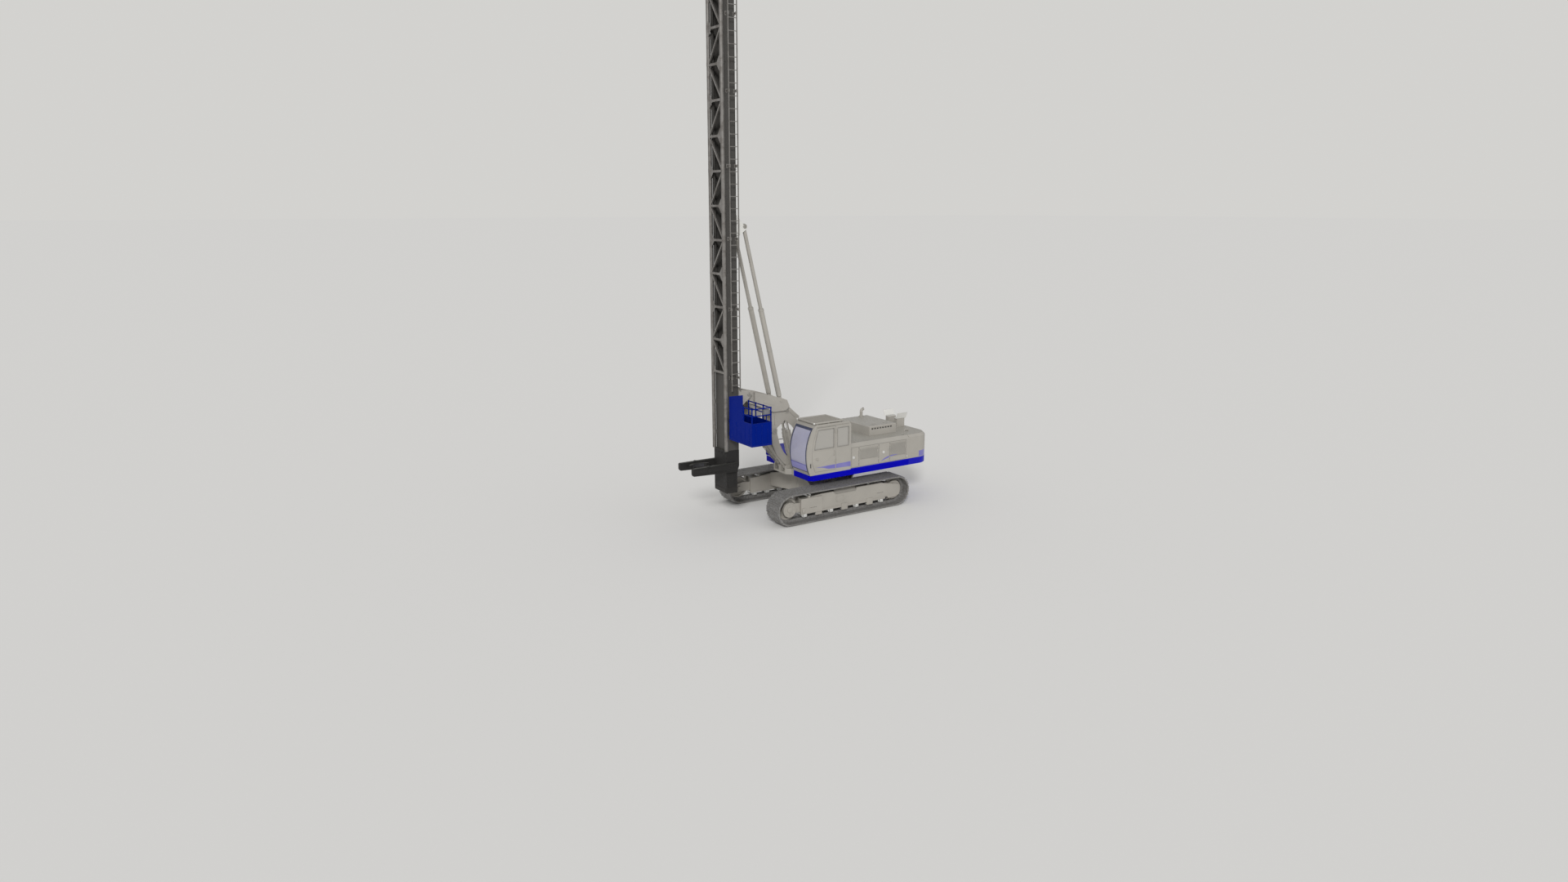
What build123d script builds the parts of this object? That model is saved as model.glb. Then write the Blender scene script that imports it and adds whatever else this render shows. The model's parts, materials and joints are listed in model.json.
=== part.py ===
"""Crawler pile driver rig with a swivelling upper carriage and a backstayed leader mast.

Millimetres. +X is forward, +Y is the cab side, +Z is up.
The origin is on the ground under the slewing axis.
Side outlines are lists of (x, z) corners in that frame.
"""
from build123d import *
from math import cos, pi, sin
import os

os.makedirs("parts", exist_ok=True)

# Tracks
track_height = 1000.0
track_length = 5130.0
track_gauge = 2960.0
shoe_width = 700.0
shoe_count = 50
shoe_thickness = 16.0
shoe_gap = 9.0
grouser_height = 26.0
grouser_base = 26.0
grousers_per_shoe = 3
belt_thickness = 12.0
chain_depth = 91.0
rail_width = 50.0
rail_offset = 65.0
running_gap = 0.3

# Wheels that carry the tracks
idler_hub_radius = 235.0
idler_width = 180.0
sprocket_width = 60.0
sprocket_teeth = 21
sprocket_tooth_height = 44.0
final_drive_radius = 300.0
axle_radius = 60.0
roller_radius = 92.0
roller_pitch = 500.0
roller_first_x = 1470.0
roller_count = 7
carrier_radius = 72.0
carrier_xs = (1250.0, -1050.0)

# Side frames
side_frame_half_width = 200.0
side_frame_bottom = 330.0
side_frame_top = 830.0
side_frame_skirt = 268.0
front_block_half_width = 240.0
front_block_rear_x = 845.0
front_block_front_x = 1650.0
front_block_bottom = 285.0
front_block_top = 775.0
step_front_x = 400.0
step_rear_x = -520.0
step_depth = 100.0
side_frame_rear_x = -2260.0

# Car body between the side frames
body_half_length = 870.0
body_top = 1060.0
body_bottom = 420.0
drum_radius = 660.0

# Slewing ring and upper frame
slew_ring_radius = 630.0
slew_ring_top = 1150.0
slew_gap = 0.4
deck_bottom = 1225.0
deck_top = 1410.0
half_width = 1550.0
upper_rear_x = -3690.0
cab_front_x = 1200.0
right_front_x = 880.0
boom_well_half_width = 345.0
boom_well_rear_x = 640.0
boom_well_floor = 1290.0
beam_front_x = 1330.0

# Cab
cab_inner_y = 550.0
cab_rear_x = -355.0
cab_roof = 2990.0
screen_drop = 85.0
cab_wall = 40.0
cab_belly_x = 1330.0
cab_belly_z = 1950.0
cab_brow_x = 1065.0
door_rear_x = 237.0
door_front_x = 1020.0
door_bottom = 1500.0
door_top = 2895.0
door_gap = 6.0
window_sill = 2210.0
glass_thickness = 8.0
glass_gap = 0.3
hinge_radius = 12.0
hinge_offset = 14.0
hinge_zs = (1760.0, 2720.0)
knuckle_height = 40.0

# Engine housing
hood_front_x = -362.0
hood_rear_x = -2740.0
hood_top = 2225.0
hood_wall = 12.0
hood_bevel = 100.0
counterweight_gap = 0.3
weight_corner_radius = 520.0
raised_front_x = -1570.0
raised_rear_x = -2690.0
raised_left_y = 920.0
raised_right_y = -660.0
raised_top = 2530.0

# Boom linkage pins, as (x, z)
arm_foot = (1000.0, 1450.0)
arm_top = (1700.0, 2680.0)
level_foot = (840.0, 1500.0)
level_top = (1240.0, 3270.0)
luff_foot = (1200.0, 1420.0)
luff_top = (2330.0, 2800.0)
leader_pin = (2700.0, 3960.0)
stay_foot = (1506.0, 3623.0)
stay_top = (2780.0, 8960.0)
pin_radius = 45.0
pin_clearance = 0.05
open_eye_clearance = 6.0
eye_radius = 78.0
cylinder_y = 130.0
cylinder_radius = 65.0
cylinder_rod_radius = 42.0
arm_inner_y = 205.0
arm_plate = 60.0
cheek_inner_y = 272.0
cheek_plate = 28.0
stay_y = 300.0
stay_barrel_radius = 80.0
stay_rod_radius = 57.0

# Leader mast
guide_x = 3490.0
guide_y = 370.0
guide_radius = 57.5
guide_bottom = 2260.0
bay_height = 975.0
lattice_start = 4700.0
bay_count = 15
girder_rear_x = 3050.0
girder_half_width = 350.0
girder_plate = 12.0
chord_size = 90.0
foot_bottom = 920.0
foot_rear_x = 3120.0

# Pile guide at the leader's foot
fork_thickness = 110.0
fork_bottom = 1600.0
fork_top = 1890.0
fork_tip_x = 4700.0
jaw_x = 4150.0
jaw_inner_radius = 300.0
jaw_outer_radius = 372.0

# Ladder
ladder_y = 480.0
ladder_rear_x = 3050.0
ladder_front_x = 3330.0
ladder_bottom = 4110.0
ladder_top = 19200.0
rung_pitch = 345.0
rail_size = 34.0
rung_size = 20.0

# Work basket
basket_rear_x = 2765.0
basket_front_x = 3455.0
basket_inner_y = 500.0
basket_outer_y = 1800.0
basket_floor = 2680.0
basket_wall_top = 3360.0
basket_rail_top = 3780.0
basket_screen_top = 4140.0
basket_screen_low_top = 3975.0
basket_screen_y = 1290.0
basket_sheet = 12.0

axle_z = track_height / 2
wheel_base = track_length - track_height
idler_x = wheel_base / 2
sprocket_x = -wheel_base / 2
track_y = track_gauge / 2
belt_radius = axle_z - grouser_height - shoe_thickness
belt_inner_radius = belt_radius - belt_thickness
rail_inner_radius = belt_inner_radius - chain_depth
pitch_radius = (rail_inner_radius + belt_inner_radius) / 2
loop_length = 2 * wheel_base + 2 * pi * pitch_radius
shoe_pitch = loop_length / shoe_count
shoe_turn = shoe_pitch / pitch_radius
mast_top = lattice_start + bay_count * bay_height


def block(x_range, y_range, z_range, mode=Mode.ADD):
    """Box between two values on each axis."""
    centre = [(low + high) / 2 for low, high in (x_range, y_range, z_range)]
    size = [high - low for low, high in (x_range, y_range, z_range)]
    with Locations(tuple(centre)):
        Box(*size, mode=mode)


def side_slab(outline, y_low, y_high, mode=Mode.ADD):
    """Plate whose outline lies in X-Z, between two Y values."""
    with BuildSketch(Plane.XZ.offset(-y_low)) as profile:
        with BuildLine():
            Polyline(*outline, close=True)
        make_face()
    extrude(profile.sketch, amount=y_low - y_high, mode=mode)


def front_slab(outline, x_low, x_high, mode=Mode.ADD):
    """Plate whose outline lies in Y-Z, between two X values."""
    with BuildSketch(Plane.YZ.offset(x_low)) as profile:
        with BuildLine():
            Polyline(*outline, close=True)
        make_face()
    extrude(profile.sketch, amount=x_high - x_low, mode=mode)


def cross_pin(centre, radius, y_low, y_high, mode=Mode.ADD):
    """Round bar along Y at an (x, z) centre."""
    middle = (centre[0], (y_low + y_high) / 2, centre[1])
    with Locations(Location(middle, (90, 0, 0))):
        Cylinder(radius, y_high - y_low, mode=mode)


def upright_pin(centre, radius, z_low, z_high, mode=Mode.ADD):
    """Round bar along Z at an (x, y) centre."""
    with Locations((centre[0], centre[1], (z_low + z_high) / 2)):
        Cylinder(radius, z_high - z_low, mode=mode)


def bar(start, end, radius, mode=Mode.ADD):
    """Round bar between two points."""
    axis = Vector(*end) - Vector(*start)
    with BuildSketch(Plane(origin=start, z_dir=axis)) as section:
        Circle(radius)
    extrude(section.sketch, amount=axis.length, mode=mode)


def square_bar(start, end, width, height, mode=Mode.ADD):
    """Rectangular bar between two points, its width kept level where it can be."""
    axis = Vector(*end) - Vector(*start)
    level = Vector(0, 1, 0) if abs(axis.normalized().Y) < 0.9 else Vector(1, 0, 0)
    with BuildSketch(Plane(origin=start, x_dir=level, z_dir=axis)) as section:
        Rectangle(width, height)
    extrude(section.sketch, amount=axis.length, mode=mode)


def between(start, end, share):
    """Point part of the way from one (x, z) pin to another."""
    return tuple(a + (b - a) * share for a, b in zip(start, end))


def at_y(point, y):
    """Space point of an (x, z) pin at a Y value."""
    return (point[0], y, point[1])


def loop_point(distance, radius):
    """(x, z) on the track's loop, with the way along it, the pitch line setting the pace.

    The loop starts under the slewing axis and runs forward: straight, round the front,
    back along the top, round the rear.
    """
    distance = distance % loop_length
    half_turn = pi * pitch_radius
    if distance < wheel_base / 2:
        turn = 0.0
        centre_x = distance
    elif distance < wheel_base / 2 + half_turn:
        turn = (distance - wheel_base / 2) / pitch_radius
        centre_x = idler_x
    elif distance < wheel_base * 1.5 + half_turn:
        turn = pi
        centre_x = idler_x - (distance - wheel_base / 2 - half_turn)
    elif distance < wheel_base * 1.5 + 2 * half_turn:
        turn = pi + (distance - wheel_base * 1.5 - half_turn) / pitch_radius
        centre_x = sprocket_x
    else:
        turn = 2 * pi
        centre_x = distance - loop_length
    outward = (sin(turn), -cos(turn))
    return (centre_x + radius * outward[0], axle_z + radius * outward[1]), turn


def shoe_profile():
    """One shoe's outer line as (along, outward) corners: plate edges and grousers."""
    half_plate = (shoe_pitch - shoe_gap) / 2
    corners = [(-half_plate, 0.0), (-half_plate, shoe_thickness)]
    spacing = 2 * half_plate / grousers_per_shoe
    for number in range(grousers_per_shoe):
        middle = -half_plate + spacing * (number + 0.5)
        corners.append((middle - grouser_base / 2, shoe_thickness))
        corners.append((middle, shoe_thickness + grouser_height))
        corners.append((middle + grouser_base / 2, shoe_thickness))
    corners.append((half_plate, shoe_thickness))
    corners.append((half_plate, 0.0))
    return corners


def shoe_line():
    """Outer outline of the whole loop of shoes."""
    outline = []
    for number in range(shoe_count):
        (x, z), turn = loop_point((number + 0.5) * shoe_pitch, belt_radius)
        for along, outward in shoe_profile():
            outline.append((
                x + along * cos(turn) + outward * sin(turn),
                z + along * sin(turn) - outward * cos(turn),
            ))
    return outline


def link_line(radius):
    """Loop with a corner at each chain joint on the ends, straight along the runs."""
    outline = []
    for number in range(shoe_count):
        point, turn = loop_point(number * shoe_pitch, radius)
        on_run = min(abs(turn), abs(turn - pi), abs(turn - 2 * pi)) < 1e-6
        inside_run = abs(point[0]) < wheel_base / 2 - shoe_pitch
        if not (on_run and inside_run):
            outline.append(point)
    return outline


# Tracks: shoes in one outline on a thin belt, with two chain rails inside it
with BuildPart() as track_left:
    with BuildSketch(Plane.XZ.offset(-(track_y - shoe_width / 2))):
        with BuildLine():
            Polyline(*shoe_line(), close=True)
        make_face()
        with BuildLine():
            Polyline(*link_line(belt_inner_radius), close=True)
        make_face(mode=Mode.SUBTRACT)
    extrude(amount=-shoe_width)
    for rail_side in (-1, 1):
        rail_y = track_y + rail_side * rail_offset
        with BuildSketch(Plane.XZ.offset(-(rail_y - rail_width / 2))):
            with BuildLine():
                Polyline(*link_line(belt_inner_radius + belt_thickness / 4), close=True)
            make_face()
            with BuildLine():
                Polyline(*link_line(rail_inner_radius), close=True)
            make_face(mode=Mode.SUBTRACT)
        extrude(amount=-rail_width)
track_left.part.label = "track_left"
export_step(track_left.part, "parts/track_left.step")

with BuildPart() as track_right:
    mirror(track_left.part, about=Plane.XZ)
track_right.part.label = "track_right"
export_step(track_right.part, "parts/track_right.step")

# Front idlers: tread, centre rim between the rails, axle and round cover outside the yoke
tread_radius = rail_inner_radius * cos(shoe_turn / 2) - running_gap
yoke_y = idler_width / 2 + 10.0
yoke_plate = 60.0
with BuildPart() as idlers:
    for side in (1, -1):
        middle_y = side * track_y
        cross_pin((idler_x, axle_z), tread_radius, middle_y - 88, middle_y + 88)
        cross_pin((idler_x, axle_z), tread_radius + 34, middle_y - 32, middle_y + 32)
        for face in (-1, 1):
            dish_y = middle_y + face * 66
            cross_pin((idler_x, axle_z), tread_radius - 60, dish_y - 24, dish_y + 24, Mode.SUBTRACT)
        cross_pin((idler_x, axle_z), 130, middle_y - 89, middle_y + 89)
        cross_pin((idler_x, axle_z), axle_radius, middle_y - 200, middle_y + 200)
        cover = sorted((middle_y + side * (yoke_y + yoke_plate + 2), middle_y + side * 235))
        cross_pin((idler_x, axle_z), idler_hub_radius, *cover)
idlers.part.label = "idlers"
export_step(idlers.part, "parts/idlers.step")

# Rear sprockets: toothed wheel between the rails, hub and final drive cover outside
with BuildPart() as sprockets:
    for side in (1, -1):
        middle_y = side * track_y
        with BuildSketch(Plane.XZ.offset(-(middle_y - sprocket_width / 2))):
            with BuildLine():
                root = tread_radius - 6
                corners = []
                for tooth in range(sprocket_teeth):
                    for share, radius in ((0.0, root), (0.32, root + sprocket_tooth_height),
                                          (0.52, root + sprocket_tooth_height), (0.84, root)):
                        angle = 2 * pi * (tooth + share) / sprocket_teeth
                        corners.append((sprocket_x + radius * cos(angle),
                                        axle_z + radius * sin(angle)))
                Polyline(*corners, close=True)
            make_face()
        extrude(amount=-sprocket_width)
        inner = sorted((middle_y - side * 145, middle_y + side * 60))
        cross_pin((sprocket_x, axle_z), 190, *inner)
        outer = sorted((middle_y + side * 50, middle_y + side * 130))
        cross_pin((sprocket_x, axle_z), final_drive_radius, *outer)
        cap = sorted((middle_y + side * 130, middle_y + side * 164))
        cross_pin((sprocket_x, axle_z), final_drive_radius - 70, *cap)
sprockets.part.label = "sprockets"
export_step(sprockets.part, "parts/sprockets.step")

# Bottom rollers hung under the side frames, and carrier rollers in pockets on top
roller_z = axle_z - rail_inner_radius + running_gap + roller_radius
roller_xs = [roller_first_x - number * roller_pitch for number in range(roller_count)]
roller_half_width = 118.0
roller_waist_half_width = 34.0
roller_axle_radius = 28.0
roller_axle_reach = 196.0
collar_half_size = 62.0
with BuildPart() as rollers:
    for side in (1, -1):
        for x in roller_xs:
            middle_y = side * track_y
            place = (x, roller_z)
            waist = roller_waist_half_width
            cross_pin(place, roller_radius, middle_y - roller_half_width, middle_y + roller_half_width)
            cross_pin(place, roller_radius - 20, middle_y - waist, middle_y + waist, Mode.SUBTRACT)
            cross_pin(place, roller_radius - 22, middle_y - waist - 2, middle_y + waist + 2)
            cross_pin(place, roller_axle_radius, middle_y - roller_axle_reach, middle_y + roller_axle_reach)
            for face in (-1, 1):
                collar = sorted((middle_y + face * (roller_half_width + 6),
                                 middle_y + face * roller_axle_reach))
                top = side_frame_skirt - running_gap
                block((x - collar_half_size, x + collar_half_size), collar,
                      (roller_z - collar_half_size, top))
rollers.part.label = "rollers"
export_step(rollers.part, "parts/rollers.step")

carrier_z = axle_z + rail_inner_radius - running_gap - carrier_radius
carrier_half_width = 100.0
carrier_axle_radius = 25.0
carrier_axle_reach = 130.0
with BuildPart() as carrier_rollers:
    for side in (1, -1):
        for x in carrier_xs:
            middle_y = side * track_y
            place = (x, carrier_z)
            cross_pin(place, carrier_radius, middle_y - carrier_half_width, middle_y + carrier_half_width)
            cross_pin(place, carrier_axle_radius, middle_y - carrier_axle_reach,
                      middle_y + carrier_axle_reach)
carrier_rollers.part.label = "carrier_rollers"
export_step(carrier_rollers.part, "parts/carrier_rollers.step")

# Side frames: box beam with a front block, idler yoke, step recess and forked rear end
with BuildPart() as side_frame_left:
    low_y = track_y - side_frame_half_width
    high_y = track_y + side_frame_half_width
    side_slab([
        (front_block_front_x, side_frame_bottom), (front_block_front_x, front_block_top - 20),
        (front_block_rear_x, side_frame_top), (step_front_x, side_frame_top),
        (step_front_x - 80, side_frame_top - step_depth),
        (step_rear_x + 40, side_frame_top - step_depth), (step_rear_x, side_frame_top),
        (-1470, side_frame_top - 10), (-1800, 760), (side_frame_rear_x, 670),
        (side_frame_rear_x, 340), (-2100, side_frame_skirt), (-1800, side_frame_skirt),
        (-1760, side_frame_bottom),
    ], low_y, high_y)
    side_slab([
        (front_block_front_x, front_block_bottom), (front_block_front_x, front_block_top),
        (front_block_rear_x + 30, front_block_top), (front_block_rear_x, front_block_top - 30),
        (front_block_rear_x, front_block_bottom),
    ], low_y, track_y + front_block_half_width)
    for face in (-1, 1):
        skirt = sorted((track_y + face * 150, track_y + face * side_frame_half_width))
        block((roller_xs[-1] - 140, front_block_front_x), skirt,
              (side_frame_skirt, side_frame_bottom + 20))
        yoke = sorted((track_y + face * yoke_y, track_y + face * (yoke_y + yoke_plate)))
        side_slab([
            (front_block_front_x - 60, 360), (front_block_front_x - 60, 640),
            (idler_x - 130, 670), (idler_x + 70, 640), (idler_x + 120, 560),
            (idler_x + 120, 420), (idler_x + 60, 360),
        ], *yoke)
    yoke_slot = (track_y - yoke_y, track_y + yoke_y)
    block((front_block_front_x - 60, idler_x + 200), yoke_slot, (300, 900), Mode.SUBTRACT)
    rear_slot = (track_y - 145 - running_gap, track_y + 164 + running_gap)
    block((side_frame_rear_x - 20, -1640), rear_slot, (200, 900), Mode.SUBTRACT)
    cross_pin((idler_x, axle_z), axle_radius + running_gap, track_y - 240, track_y + 240, Mode.SUBTRACT)
    roller_channel = (track_y - 150, track_y + 150)
    block((roller_xs[-1] - 120, roller_xs[0] + 120), roller_channel,
          (200, roller_z + roller_radius + 8), Mode.SUBTRACT)
    block((roller_xs[0] + 119, front_block_front_x + 1), roller_channel, (200, side_frame_bottom),
          Mode.SUBTRACT)
    for x in carrier_xs:
        block((x - 92, x + 92), (track_y - carrier_axle_reach, track_y + carrier_axle_reach),
              (carrier_z - 90, 900), Mode.SUBTRACT)
    for x in (roller_xs[1], roller_xs[3], roller_xs[5]):
        guide_face = track_y + side_frame_half_width
        block((x - 120, x + 120), (guide_face - 3.5, guide_face + 14),
              (roller_z - 60, side_frame_bottom + 60))
side_frame_left.part.label = "side_frame_left"
export_step(side_frame_left.part, "parts/side_frame_left.step")

with BuildPart() as side_frame_right:
    mirror(side_frame_left.part, about=Plane.XZ)
side_frame_right.part.label = "side_frame_right"
export_step(side_frame_right.part, "parts/side_frame_right.step")

# Car body: drum under the slewing ring with four tapering box legs to the side frames
leg_end_y = track_y - side_frame_half_width
with BuildPart() as carbody:
    with BuildSketch(Plane.XY.offset(body_bottom)):
        RegularPolygon(radius=drum_radius, side_count=12)
    extrude(amount=body_top - body_bottom)
    for side in (1, -1):
        for end in (1, -1):
            with BuildSketch(Plane.XZ.offset(-side * 300)):
                with Locations((end * 340, (body_bottom + body_top) / 2 + 10)):
                    Rectangle(560, body_top - body_bottom - 20)
            with BuildSketch(Plane.XZ.offset(-side * leg_end_y)):
                with Locations((end * (body_half_length - 270), 635)):
                    Rectangle(540, 450)
            loft()
    for end in (1, -1):
        block(sorted((end * 300, end * 640)), (-420, 420), (body_bottom + 60, body_top - 30))
carbody.part.label = "carbody"
export_step(carbody.part, "parts/carbody.step")

# Slewing ring: fixed outer race on the drum
with BuildPart() as slew_ring:
    with BuildSketch(Plane.XY.offset(body_top)):
        Circle(slew_ring_radius)
        Circle(slew_ring_radius - 130, mode=Mode.SUBTRACT)
    extrude(amount=slew_ring_top - body_top)
slew_ring.part.label = "slew_ring"
export_step(slew_ring.part, "parts/slew_ring.step")

# Upper frame: deck, boom well, ears and linkage pins, and the ring's turning race
ear_faces = ((-boom_well_half_width, -290.0), (-50.0, 50.0), (290.0, boom_well_half_width))
with BuildPart() as upper_frame:
    with BuildSketch(Plane.XY.offset(deck_bottom)):
        with BuildLine():
            Polyline(
                (hood_rear_x, -half_width), (right_front_x - 60, -half_width),
                (right_front_x, -half_width + 60), (right_front_x, -boom_well_half_width),
                (beam_front_x, -boom_well_half_width), (beam_front_x, boom_well_half_width),
                (cab_front_x - 20, cab_inner_y - 60), (cab_front_x, cab_inner_y),
                (cab_front_x, half_width - 120), (cab_front_x - 120, half_width),
                (hood_rear_x, half_width), close=True)
        make_face()
    extrude(amount=deck_top - deck_bottom)
    well = (-boom_well_half_width, boom_well_half_width)
    block((boom_well_rear_x, beam_front_x + 20), well, (boom_well_floor, deck_top + 10), Mode.SUBTRACT)
    for ear in ear_faces:
        side_slab([
            (boom_well_rear_x - 30, deck_bottom + 20), (beam_front_x, deck_bottom + 20),
            (beam_front_x, 1400), (luff_foot[0] + 90, 1500), (level_foot[0] + 60, 1600),
            (level_foot[0] - 70, 1600), (boom_well_rear_x - 30, 1480),
        ], *ear)
    cross_pin(arm_foot, pin_radius, -boom_well_half_width - 14, boom_well_half_width + 14)
    for pin in (level_foot, luff_foot):
        cross_pin(pin, pin_radius, -cylinder_y - 68, cylinder_y + 68)
    with BuildSketch(Plane.XY.offset(slew_ring_top + slew_gap)):
        Circle(slew_ring_radius - 10)
        Circle(slew_ring_radius - 150, mode=Mode.SUBTRACT)
    extrude(amount=deck_bottom - slew_ring_top - slew_gap + 2)
upper_frame.part.label = "upper_frame"
export_step(upper_frame.part, "parts/upper_frame.step")

# Counterweight: cast block with round rear corners and a chamfered crown
with BuildPart() as counterweight:
    with BuildSketch(Plane.XY.offset(deck_bottom)):
        with BuildLine():
            Polyline((hood_rear_x - counterweight_gap, -half_width), (upper_rear_x, -half_width),
                     (upper_rear_x, half_width), (hood_rear_x - counterweight_gap, half_width),
                     close=True)
        make_face()
    extrude(amount=hood_top - deck_bottom)
    rear_edges = counterweight.edges().filter_by(Axis.Z).group_by(Axis.X)[0]
    fillet(rear_edges, weight_corner_radius)
    crown = counterweight.faces().sort_by(Axis.Z)[-1]
    front_edge = crown.edges().sort_by(Axis.X)[-1]
    chamfer([edge for edge in crown.edges() if edge != front_edge], hood_bevel * 0.8)
    block((hood_rear_x - 200, hood_rear_x), (-500, 500), (deck_bottom - 1, deck_bottom + 120),
          Mode.SUBTRACT)
counterweight.part.label = "counterweight"
export_step(counterweight.part, "parts/counterweight.step")

# Engine hood: thin housing with bevelled shoulders and recessed side panels
shoulder_z = hood_top - hood_bevel


def hood_section(inset):
    """(y, z) outline of the hood, moved in by a wall thickness."""
    side = half_width - inset
    bevel = hood_bevel - inset * 0.4
    top = hood_top - inset
    return [(-side, deck_top), (-side, top - bevel), (-side + bevel, top),
            (side - bevel, top), (side, top - bevel), (side, deck_top)]


panel_table = (
    # front x, rear x, bottom z, top z
    (-710.0, -1440.0, 1670.0, 2030.0),
    (-1950.0, -2600.0, 1610.0, 2070.0),
)
with BuildPart() as engine_hood:
    with BuildSketch(Plane.YZ.offset(hood_rear_x)):
        with BuildLine():
            Polyline(*hood_section(0), close=True)
        make_face()
    extrude(amount=hood_front_x - hood_rear_x)
    with BuildSketch(Plane.YZ.offset(hood_rear_x + hood_wall)):
        with BuildLine():
            Polyline(*hood_section(hood_wall), close=True)
        make_face()
    extrude(amount=hood_front_x - hood_rear_x - 2 * hood_wall, mode=Mode.SUBTRACT)
    for front_x, rear_x, low_z, high_z in panel_table:
        for side in (1, -1):
            band = sorted((side * (half_width - 28), side * (half_width - 8)))
            block((rear_x, front_x), band, (low_z, high_z))
            recess = sorted((side * (half_width - 8), side * (half_width + 1)))
            block((rear_x + 10, front_x - 10), recess, (low_z + 10, high_z - 10), Mode.SUBTRACT)
engine_hood.part.label = "engine_hood"
export_step(engine_hood.part, "parts/engine_hood.step")

# Raised engine cover with louvres along its left side
louvre_count = 8
with BuildPart() as raised_cover:
    block((raised_rear_x, raised_front_x), (raised_right_y, raised_left_y), (hood_top, raised_top))
    chamfer(raised_cover.faces().sort_by(Axis.Z)[-1].edges(), 18)
    for number in range(louvre_count):
        x = raised_front_x - 130 - number * 110
        block((x - 38, x + 38), (raised_left_y - 26, raised_left_y + 1),
              (raised_top - 110, raised_top - 50),
              Mode.SUBTRACT)
raised_cover.part.label = "raised_cover"
export_step(raised_cover.part, "parts/raised_cover.step")

# Open air stacks at the rear, each with a lid that leans outwards
stack_x = (-3545.0, -3215.0)
stack_y = 20.0
stack_pitch = 460.0
stack_depth = 140.0
stack_height = 305.0
stack_wall = 8.0
stack_mouth_depth = 120.0
lid_overhang = 50.0
lid_height = 180.0
lid_lean = 78.0
lid_plate = 14.0
with BuildPart() as air_stacks:
    for side in (-1, 1):
        middle = stack_y + side * stack_pitch / 2
        inner_y = middle - side * stack_depth / 2
        outer_y = middle + side * stack_depth / 2
        top = hood_top + stack_height
        block(stack_x, sorted((inner_y, outer_y)), (hood_top, top))
        mouth_y = sorted((inner_y + side * stack_wall, outer_y - side * stack_wall))
        block((stack_x[0] + stack_wall, stack_x[1] - stack_wall), mouth_y,
              (top - stack_mouth_depth, top + 1), Mode.SUBTRACT)
        front_slab([
            (outer_y, top - 20), (outer_y + side * lid_plate, top - 20),
            (outer_y + side * (lid_lean + lid_plate), top + lid_height),
            (outer_y + side * lid_lean, top + lid_height),
        ], stack_x[0] - lid_overhang, stack_x[1] + lid_overhang)
air_stacks.part.label = "air_stacks"
export_step(air_stacks.part, "parts/air_stacks.step")

# Exhaust pipe with a bend at its top
pipe_radius = 50.0
pipe_place = (-2366.0, -563.0)
with BuildPart() as exhaust_pipe:
    with BuildLine() as pipe_route:
        Polyline((pipe_place[0], pipe_place[1], raised_top),
                 (pipe_place[0], pipe_place[1], raised_top + 170))
        RadiusArc((pipe_place[0], pipe_place[1], raised_top + 170),
                  (pipe_place[0] - 90, pipe_place[1], raised_top + 260), 90)
    with BuildSketch(Plane(origin=(pipe_place[0], pipe_place[1], raised_top), z_dir=(0, 0, 1))):
        Circle(pipe_radius)
        Circle(pipe_radius - 5, mode=Mode.SUBTRACT)
    sweep(path=pipe_route.wires()[0])
exhaust_pipe.part.label = "exhaust_pipe"
export_step(exhaust_pipe.part, "parts/exhaust_pipe.step")

# Engine: one plain block on the deck inside the hood
with BuildPart() as engine_block:
    block((-2450, -1250), (-500, 350), (deck_top, hood_top - 240))
    chamfer(engine_block.faces().sort_by(Axis.Z)[-1].edges(), 60)
engine_block.part.label = "engine_block"
export_step(engine_block.part, "parts/engine_block.step")

# Low housing on the right front, with a recessed front panel
housing_top = 1730.0
with BuildPart() as right_housing:
    block((hood_front_x + 8, right_front_x), (-half_width, -boom_well_half_width - 60),
          (deck_top, housing_top))
    fillet(right_housing.edges().filter_by(Axis.Z).group_by(Axis.X)[-1].sort_by(Axis.Y)[0], 60)
    chamfer(right_housing.faces().sort_by(Axis.Z)[-1].edges(), 20)
    block((right_front_x - 22, right_front_x + 1), (-half_width + 110, -boom_well_half_width - 110),
          (deck_top + 50, housing_top - 60), Mode.SUBTRACT)
right_housing.part.label = "right_housing"
export_step(right_housing.part, "parts/right_housing.step")

# Cab: hollow shell whose front is one arc from base to brow
cab_outer_y = half_width


def cab_profile(inset):
    """Side face of the cab, moved in by a wall thickness."""
    with BuildSketch(Plane.XZ) as face:
        with BuildLine():
            front = ThreePointArc((cab_front_x, deck_top), (cab_belly_x, cab_belly_z),
                                  (cab_brow_x, cab_roof - 60))
            Line(front @ 1, (cab_brow_x - 70, cab_roof))
            Line((cab_brow_x - 70, cab_roof), (cab_rear_x + 170, cab_roof))
            RadiusArc((cab_rear_x + 170, cab_roof), (cab_rear_x, cab_roof - 170), -170)
            Line((cab_rear_x, cab_roof - 170), (cab_rear_x, deck_top))
            Line((cab_rear_x, deck_top), front @ 0)
        make_face()
        if inset:
            offset(amount=-inset, mode=Mode.REPLACE)
    return face.sketch


def cab_solid(inset, y_low, y_high, mode=Mode.ADD):
    """Cab profile pulled out between two Y values."""
    face = cab_profile(inset).moved(Location((0, y_low, 0)))
    extrude(face, amount=y_low - y_high, mode=mode)


pillar = 75.0
front_glass_low = deck_top + 120
front_glass_high = cab_roof - screen_drop
door_panel_y = (cab_outer_y - cab_wall, cab_outer_y)
hinge_axis = (door_rear_x + door_gap / 2, cab_outer_y + hinge_offset)
hinge_leaf_y = (cab_outer_y - 1, cab_outer_y + 7)


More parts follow.
